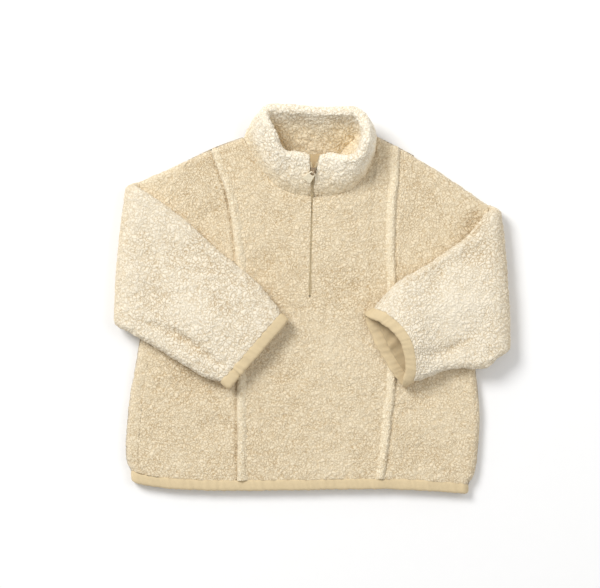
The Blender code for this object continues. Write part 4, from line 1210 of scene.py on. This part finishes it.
class PULLOVER_OT_laps(bpy.types.Operator):
    """Make the raised laps over the two front seams"""

    bl_idname = "pullover.laps"
    bl_label = "Lapped seams"

    def execute(self, context):
        settings = context.scene.pullover_fleece
        finish = fleece_finishes(settings)["lap"]
        step = settings.spacing / MM
        rows = between_rows(LAP_PROFILE, np.linspace(0, len(LAP_PROFILE) - 1, LAP_POINTS))
        under = rows[1:-1][::-1] * (1, 0)
        rows = np.concatenate((rows, under))
        for name, seam, outer, seed in (
            ("lapped_seam_left", left_seam, -1, 61),
            ("lapped_seam_right", right_seam, 1, 71),
        ):
            offsets = [outer * (LAP_PROFILE[-1][0] / 2 - reach) for reach in rows[:, 0]]
            x, y = panel_plan(seam, seam, [0.0] * len(rows), offsets, NECK_FRONT, step)
            short = whole_cells(ROUNDING, step) // 2
            x, y = x[:-short], y[:-short]
            base, up = body_points(x, y, 1), body_points(x, y, 1, 1.0)
            skin = base + (up - base) * (rows[:, 1] - LAP_SINK)[None, :, None]
            out = normals(skin, middles(skin), True)
            raised = np.clip(rows[:, 1] / LAP_RAISED, 0, 1)[None, :]
            push = sum(high * gradient_noise(skin / wide, seed + extra) for wide, high, extra in LAP_WAVES)
            push *= raised
            piece = tube(name, skin + out * push[..., None], finish, out * raised[..., None])
            raise_pile(piece, settings, BODY_CURL)
            dress(piece, name)
        return {"FINISHED"}


class PULLOVER_OT_sleeves(bpy.types.Operator):
    """Make both sleeves, folded over the front"""

    bl_idname = "pullover.sleeves"
    bl_label = "Sleeves"

    def execute(self, context):
        settings = context.scene.pullover_fleece
        step = settings.spacing / MM
        left = LEFT_UPPER, LEFT_FOREARM, left_edge, LEFT_SLEEVE_CREASES
        right = RIGHT_UPPER, RIGHT_FOREARM, right_edge, RIGHT_SLEEVE_CREASES
        for name, (upper, forearm, armhole, creases), seed, flat, area in (
            ("sleeve_left", left, 81, (0.36, 0.27), 0.058),
            ("sleeve_right", right, 91, (0.36, 0.25), 0.053),
        ):
            places = ring_places(whole_cells(SLEEVE_WIDE, step), whole_cells(2 * ROUNDING, step))
            outer_rings = sleeve_rings(upper, forearm, armhole, 0.0, places)
            outer = refined(outer_rings, step)
            inner = refined(sleeve_rings(upper, forearm, armhole, FLEECE, places), step, outer_rings)
            piece = fleece_wall(name, outer, inner, settings, "sleeve", seed, "BT", creases, closed=True)
        return {"FINISHED"}


class PULLOVER_OT_collar(bpy.types.Operator):
    """Make the stand collar, folded over at its rim"""

    bl_idname = "pullover.collar"
    bl_label = "Collar"

    def execute(self, context):
        settings = context.scene.pullover_fleece
        finish = fleece_finishes(settings)["collar"]
        step = settings.spacing / MM
        last = len(COLLAR) - 1
        keys = [collar_ring(t) for t in np.linspace(0, last, COLLAR_KEYS * last + 1)]
        rings = refined(np.array(keys), step * FINER_COLLAR)
        skin, out, depth_and_shade = pile(rings, middles(rings), settings, 101, "BT", COLLAR_CREASES, closed=True)
        skin[..., 2] = np.maximum(skin[..., 2], COLLAR_LOWEST)
        piece = tube("collar", skin, finish, out, depth_and_shade)
        raise_pile(piece, settings, COLLAR_CURL)
        dress(piece, "collar")
        return {"FINISHED"}


class PULLOVER_OT_bindings(bpy.types.Operator):
    """Make the woven bindings of the cuffs and the hem"""

    bl_idname = "pullover.bindings"
    bl_label = "Bindings"

    def execute(self, context):
        trim = context.scene.pullover_trim
        step = context.scene.pullover_fleece.spacing / MM
        finish = woven_finish("binding_woven", tuple(trim.binding), 0.86)
        for name, upper, forearm, seed, flat in (
            ("cuff_band_left", LEFT_UPPER, LEFT_FOREARM, 121, (0.032, 0.225)),
            ("cuff_band_right", RIGHT_UPPER, RIGHT_FOREARM, 131, (0.032, 0.235)),
        ):
            outward = fold_outward(upper[-1])
            end = len(forearm) - 1
            places = ring_places(whole_cells(CUFF_WIDE, CUFF_STEP), whole_cells(2 * ROUNDING, CUFF_STEP))
            ring = forearm_ring(forearm, outward, end, 0.0, places)
            inner = forearm_ring(forearm, outward, end, FLEECE, places)
            before = forearm_ring(forearm, outward, end - 0.5, 0.0, places)
            ahead = unit(np.cross(np.roll(ring, -1, axis=0) - np.roll(ring, 1, axis=0), ring - inner))
            ahead *= np.sign((ahead * (ring - before)).sum(-1, keepdims=True))
            self.bind(name, ring, inner, ahead, CUFF_PROFILE, trim, finish, seed, flat)
        turns = 0.5 * math.pi * BODY_HALF
        straight = whole_cells(HEM_BAND_RIGHT - HEM_BAND_LEFT - 2 * BODY_HALF, step)
        arc = whole_cells(2 * turns, step)
        left, right = HEM_BAND_LEFT + BODY_HALF, HEM_BAND_RIGHT - BODY_HALF
        at = [(right, 90 - 180 * k / arc) for k in range(arc)]
        at += [(blend(right, left, k / straight), -90) for k in range(straight)]
        at += [(left, -90 - 180 * k / arc) for k in range(arc)]
        at += [(blend(left, right, k / straight), 90) for k in range(straight)]
        x, angle = np.array(at).T
        a = np.radians(angle)
        y = through(HEM, x + BODY_HALF * np.cos(a))
        rings = []
        for radius in (BODY_HALF, BODY_HALF - FLEECE):
            rings.append(np.stack((x + radius * np.cos(a), y, BODY_HALF + radius * np.sin(a)), axis=-1))
        ahead = np.tile((0.0, -1.0, 0.0), (len(x), 1))
        self.bind("hem_band", *rings, ahead, HEM_PROFILE, trim, finish, 141, (0.031, 0.745))
        return {"FINISHED"}

    def bind(self, name, ring, inner, ahead, profile, trim, finish, seed, flat):
        """Lays one binding and gathers it a little across its width."""
        outer = profile_skin(ring, inner, ahead, profile, 8 * STRIDE + 1)
        out = normals(outer, middles(outer, 0), True)
        lie = lying(outer, True)[..., 0] / MM
        spaced = lie / (trim.gather_size / MM)
        lane = np.linspace(0, GATHER_LANES, len(outer))[:, None] + 0 * spaced
        waves = 0
        for k, (near, slant, across, place, high) in enumerate(GATHERS):
            at = np.stack((spaced * near + lane * slant, lane * across, 0 * spaced + place), -1)
            waves = waves + gradient_noise(at, seed + k) * high
        push = trim.gather / MM * waves
        if name == "cuff_band_left":
            top = np.array((LEFT_FOREARM[-1].top_x, LEFT_FOREARM[-1].top_y))
            down = np.hypot(*np.moveaxis(ring[:, :2] - top, -1, 0))
            push = push - SEAM_DIP * np.exp(-(((down - CUFF_SEAM_AT) / SEAM_WIDE) ** 2))
        skin = outer + out * push[..., None]
        if name == "hem_band":
            skin[..., 2] = np.maximum(skin[..., 2], 0.0)
        # The gathers' valleys and the cuff's seam dip are darkened with painted shade.
        piece = wall(name, skin, outer - out * BINDING, finish, depth_and_shade=-push, closed=True)
        dress(piece, name)


class PULLOVER_OT_linings(bpy.types.Operator):
    """Make the smooth linings seen in the neck and in the open cuff"""

    bl_idname = "pullover.linings"
    bl_label = "Linings"

    def execute(self, context):
        trim = context.scene.pullover_trim
        finish = woven_finish("lining_plain", tuple(trim.lining), 0.9, 0.00035)
        outward = fold_outward(RIGHT_UPPER[-1])
        end = len(RIGHT_FOREARM) - 1
        places = ring_places(*CUFF_LINING_RING)
        skins = []
        for inset in (FLEECE + SEAM_GAP, FLEECE + SEAM_GAP + LINING):
            keys = [
                forearm_ring(RIGHT_FOREARM, outward, t, inset, places)
                for t in np.linspace(CUFF_LINING_FROM, end - CUFF_LINING_SHORT, CUFF_LINING_KEYS)
            ]
            keys[-1] = keys[-1] + unit(keys[-1] - keys[-2]) * CUFF_LINING_OVER
            skins.append(refined(np.array(keys), CUFF_LINING_STEP))
        outside, inside = skins
        count = min(len(outside), len(inside))
        outside, inside = outside[:count], inside[:count]
        out = normals(inside, outside, True)
        u, v, flat = np.moveaxis(lying(inside, True) / MM, -1, 0)
        push = 0
        for wide, long, high, place, seed in LINING_FOLDS:
            folds = gradient_noise(np.stack((u / wide, v / long, flat + place), -1), seed)
            push = push + np.maximum(folds, 0) * high
        skin = inside + out * push[..., None]
        # The lining is darkened with painted shade everywhere but on the tops of its folds.
        piece = wall("cuff_lining", skin, outside, finish, depth_and_shade=1 - push, closed=True)
        dress(piece, "cuff_lining")

        rows = []
        angles = np.radians(np.linspace(90, 0, FACING_ROWS + 1))
        for a in angles:
            half = max(FACING_HALF_WIDTH * math.cos(a), FACING_LEAST)
            y = FACING_TOP - FACING_DROP * math.sin(a)
            rows.append([(half * (2 * share - 1), y, FACING_LOW + LINING) for share in even(FACING_COLUMNS)])
        top = np.array(rows)
        low = top - (0, 0, LINING)
        wave = FACING_WAVE * gradient_noise(top / FACING_WAVE_SIZE, 161)
        piece = wall("neck_lining", top + np.stack((0 * wave, 0 * wave, wave), -1), low, finish)
        dress(piece, "neck_lining")
        return {"FINISHED"}


class PULLOVER_OT_zip(bpy.types.Operator):
    """Make the zip's coils, and finish its tapes, slider and pull tab"""

    bl_idname = "pullover.zip"
    bl_label = "Zip"

    def execute(self, context):
        trim = context.scene.pullover_trim
        nodes = frame["nodes"]
        tape = woven_finish("zip_tape_woven", tuple(trim.tape), 0.85, 0.0005)
        metal = enamel_finish("slider_enamel", tuple(trim.slider), 0.34, 0.6)
        enamel = enamel_finish("tab_enamel", tuple(trim.tab), 0.36)
        for name, finish, slot in (
            ("zip_tape_left", tape, "zip_tape"),
            ("zip_tape_right", tape, "zip_tape"),
            ("zip_slider", metal, "slider_metal"),
            ("zip_pull_tab", enamel, "tab_enamel"),
        ):
            nodes[name].data.materials.clear()
            nodes[name].data.materials.append(finish)
        nylon = coil_finish(tuple(trim.coil))
        for name, side in (("zip_coil_left", -1), ("zip_coil_right", 1)):
            piece = self.coil(name, side, trim.coil_pitch / MM, nylon)
            dress(piece, None)
        return {"FINISHED"}

    def centre_line(self, side):
        """The line of one coil: up the slot, then up the collar's front edge, parting over the slider."""
        points, ups = [], []
        for y in np.linspace(COIL_BOTTOM, COIL_TOP, COIL_ROWS):
            points.append((zip_x(y) + side * COIL_ASIDE, y, blend(COIL_HIGH, COIL_LOW, (y / COIL_TOP) ** 2)))
            ups.append((0, 0, 1))
        t = 0 if side < 0 else len(COLLAR) - 1
        for share in COIL_SHARES:
            centre, _, out, half = collar_section(t, share)
            reach = abs(centre[0] - collar_centre(len(COLLAR) - 1 - t, share)[0]) / 2
            parted = max(share - SLIDER_SHARE, 0) / (1 - SLIDER_SHARE)
            middle = centre + out * (half - COIL_UNDER_FACE)
            near = blend(COIL_ASIDE, max(reach - COIL_INSIDE, COIL_ASIDE), parted) - reach
            points.append(middle + np.array((side * near, 0, 0)))
            ups.append(out)
        return np.array(points), unit(np.array(ups, float))

    def coil(self, name, side, pitch, finish):
        """Turns of the coil, each a small loop that leans over towards the other side."""
        line, ups = self.centre_line(side)
        steps = run_of(line)
        count = int(steps[-1] / pitch)
        s = np.linspace(0, steps[-1], count * COIL_PER_TURN + 1)
        centre = along(steps, line, s)
        up = unit(along(steps, ups, s))
        run = unit(np.gradient(centre, axis=0))
        across = unit(np.cross(run, up))
        angle = 2 * np.pi * s / pitch
        path = centre + across * (COIL_HALF_WIDE * np.cos(angle))[:, None]
        path += up * (COIL_HALF_TALL * np.sin(angle))[:, None]
        ahead = unit(np.gradient(path, axis=0))
        first = unit(np.cross(ahead, up))
        second = np.cross(ahead, first)
        turn = 2 * np.pi * np.arange(COIL_SIDES) / COIL_SIDES
        ring = first[:, None] * np.cos(turn)[None, :, None] + second[:, None] * np.sin(turn)[None, :, None]
        return tube(name, path[:, None] + ring * COIL_WIRE, finish)


FLOOR_REACH = 6.0
LAMPS = (("key_light", (-1.9, 1.9, 2.9), 1.7, 1.0), ("side_light", (1.8, 0.4, 2.6), 1.8, 0.16))


class PULLOVER_OT_stage(bpy.types.Operator):
    """Make the floor, the lights and the camera"""

    bl_idname = "pullover.stage"
    bl_label = "Stage"

    def execute(self, context):
        studio = context.scene.pullover_studio
        scene = context.scene
        mesh = bpy.data.meshes.new("floor")
        corners = [(x * FLOOR_REACH, y * FLOOR_REACH, 0) for x, y in ((-1, -1), (1, -1), (1, 1), (-1, 1))]
        mesh.from_pydata(corners, [], [(0, 1, 2, 3)])
        mesh.materials.append(floor_finish(tuple(studio.floor)))
        floor = bpy.data.objects.new("floor", mesh)
        scene.collection.objects.link(floor)
        for name, place, size, share in LAMPS:
            light = bpy.data.lights.new(name, "AREA")
            light.shape = "DISK"
            light.size = size
            light.energy = studio.key * share
            lamp = bpy.data.objects.new(name, light)
            lamp.location = place
            lamp.rotation_mode = "QUATERNION"
            lamp.rotation_quaternion = (-Vector(place)).to_track_quat("-Z", "Y")
            scene.collection.objects.link(lamp)
        world = bpy.data.worlds.new("sky")
        world.use_nodes = True
        background = world.node_tree.nodes["Background"]
        background.inputs["Color"].default_value = (1.0, 0.995, 0.985, 1.0)
        background.inputs["Strength"].default_value = studio.fill
        scene.world = world
        scene.view_settings.view_transform = "Standard"
        lens = bpy.data.cameras.new("camera")
        lens.sensor_width = 36.0
        lens.lens = lens.sensor_width * studio.height / studio.width
        lens.clip_end = 50.0
        camera = bpy.data.objects.new("camera", lens)
        camera.location = (studio.middle_x, studio.middle_y, studio.height)
        scene.collection.objects.link(camera)
        scene.camera = camera
        return {"FINISHED"}


class PULLOVER_PT_sidebar(bpy.types.Panel):
    """Lists the pieces of the pullover and their sizes and colours"""

    bl_idname = "PULLOVER_PT_sidebar"
    bl_label = "Sherpa pullover"
    bl_space_type = "VIEW_3D"
    bl_region_type = "UI"
    bl_category = "Pullover"

    def draw(self, context):
        for group in GROUPS:
            settings = getattr(context.scene, GROUPS[group])
            box = self.layout.box()
            for field in settings.bl_rna.properties.keys():
                if field not in ("rna_type", "name"):
                    box.prop(settings, field)
        for operator in OPERATORS:
            self.layout.operator(operator.bl_idname)


GROUPS = {
    PulloverFleece: "pullover_fleece",
    PulloverTrim: "pullover_trim",
    PulloverStudio: "pullover_studio",
}
OPERATORS = (
    PULLOVER_OT_panels,
    PULLOVER_OT_laps,
    PULLOVER_OT_sleeves,
    PULLOVER_OT_collar,
    PULLOVER_OT_bindings,
    PULLOVER_OT_linings,
    PULLOVER_OT_zip,
    PULLOVER_OT_stage,
)


def register():
    for cls in (*GROUPS, *OPERATORS, PULLOVER_PT_sidebar):
        bpy.utils.register_class(cls)
    for group, name in GROUPS.items():
        setattr(bpy.types.Scene, name, bpy.props.PointerProperty(type=group))


def unregister():
    for name in GROUPS.values():
        delattr(bpy.types.Scene, name)
    for cls in reversed((*GROUPS, *OPERATORS, PULLOVER_PT_sidebar)):
        bpy.utils.unregister_class(cls)


def main():
    register()
    for operator in OPERATORS:
        area, name = operator.bl_idname.split(".")
        getattr(getattr(bpy.ops, area), name)()


if __name__ == "__main__":
    main()
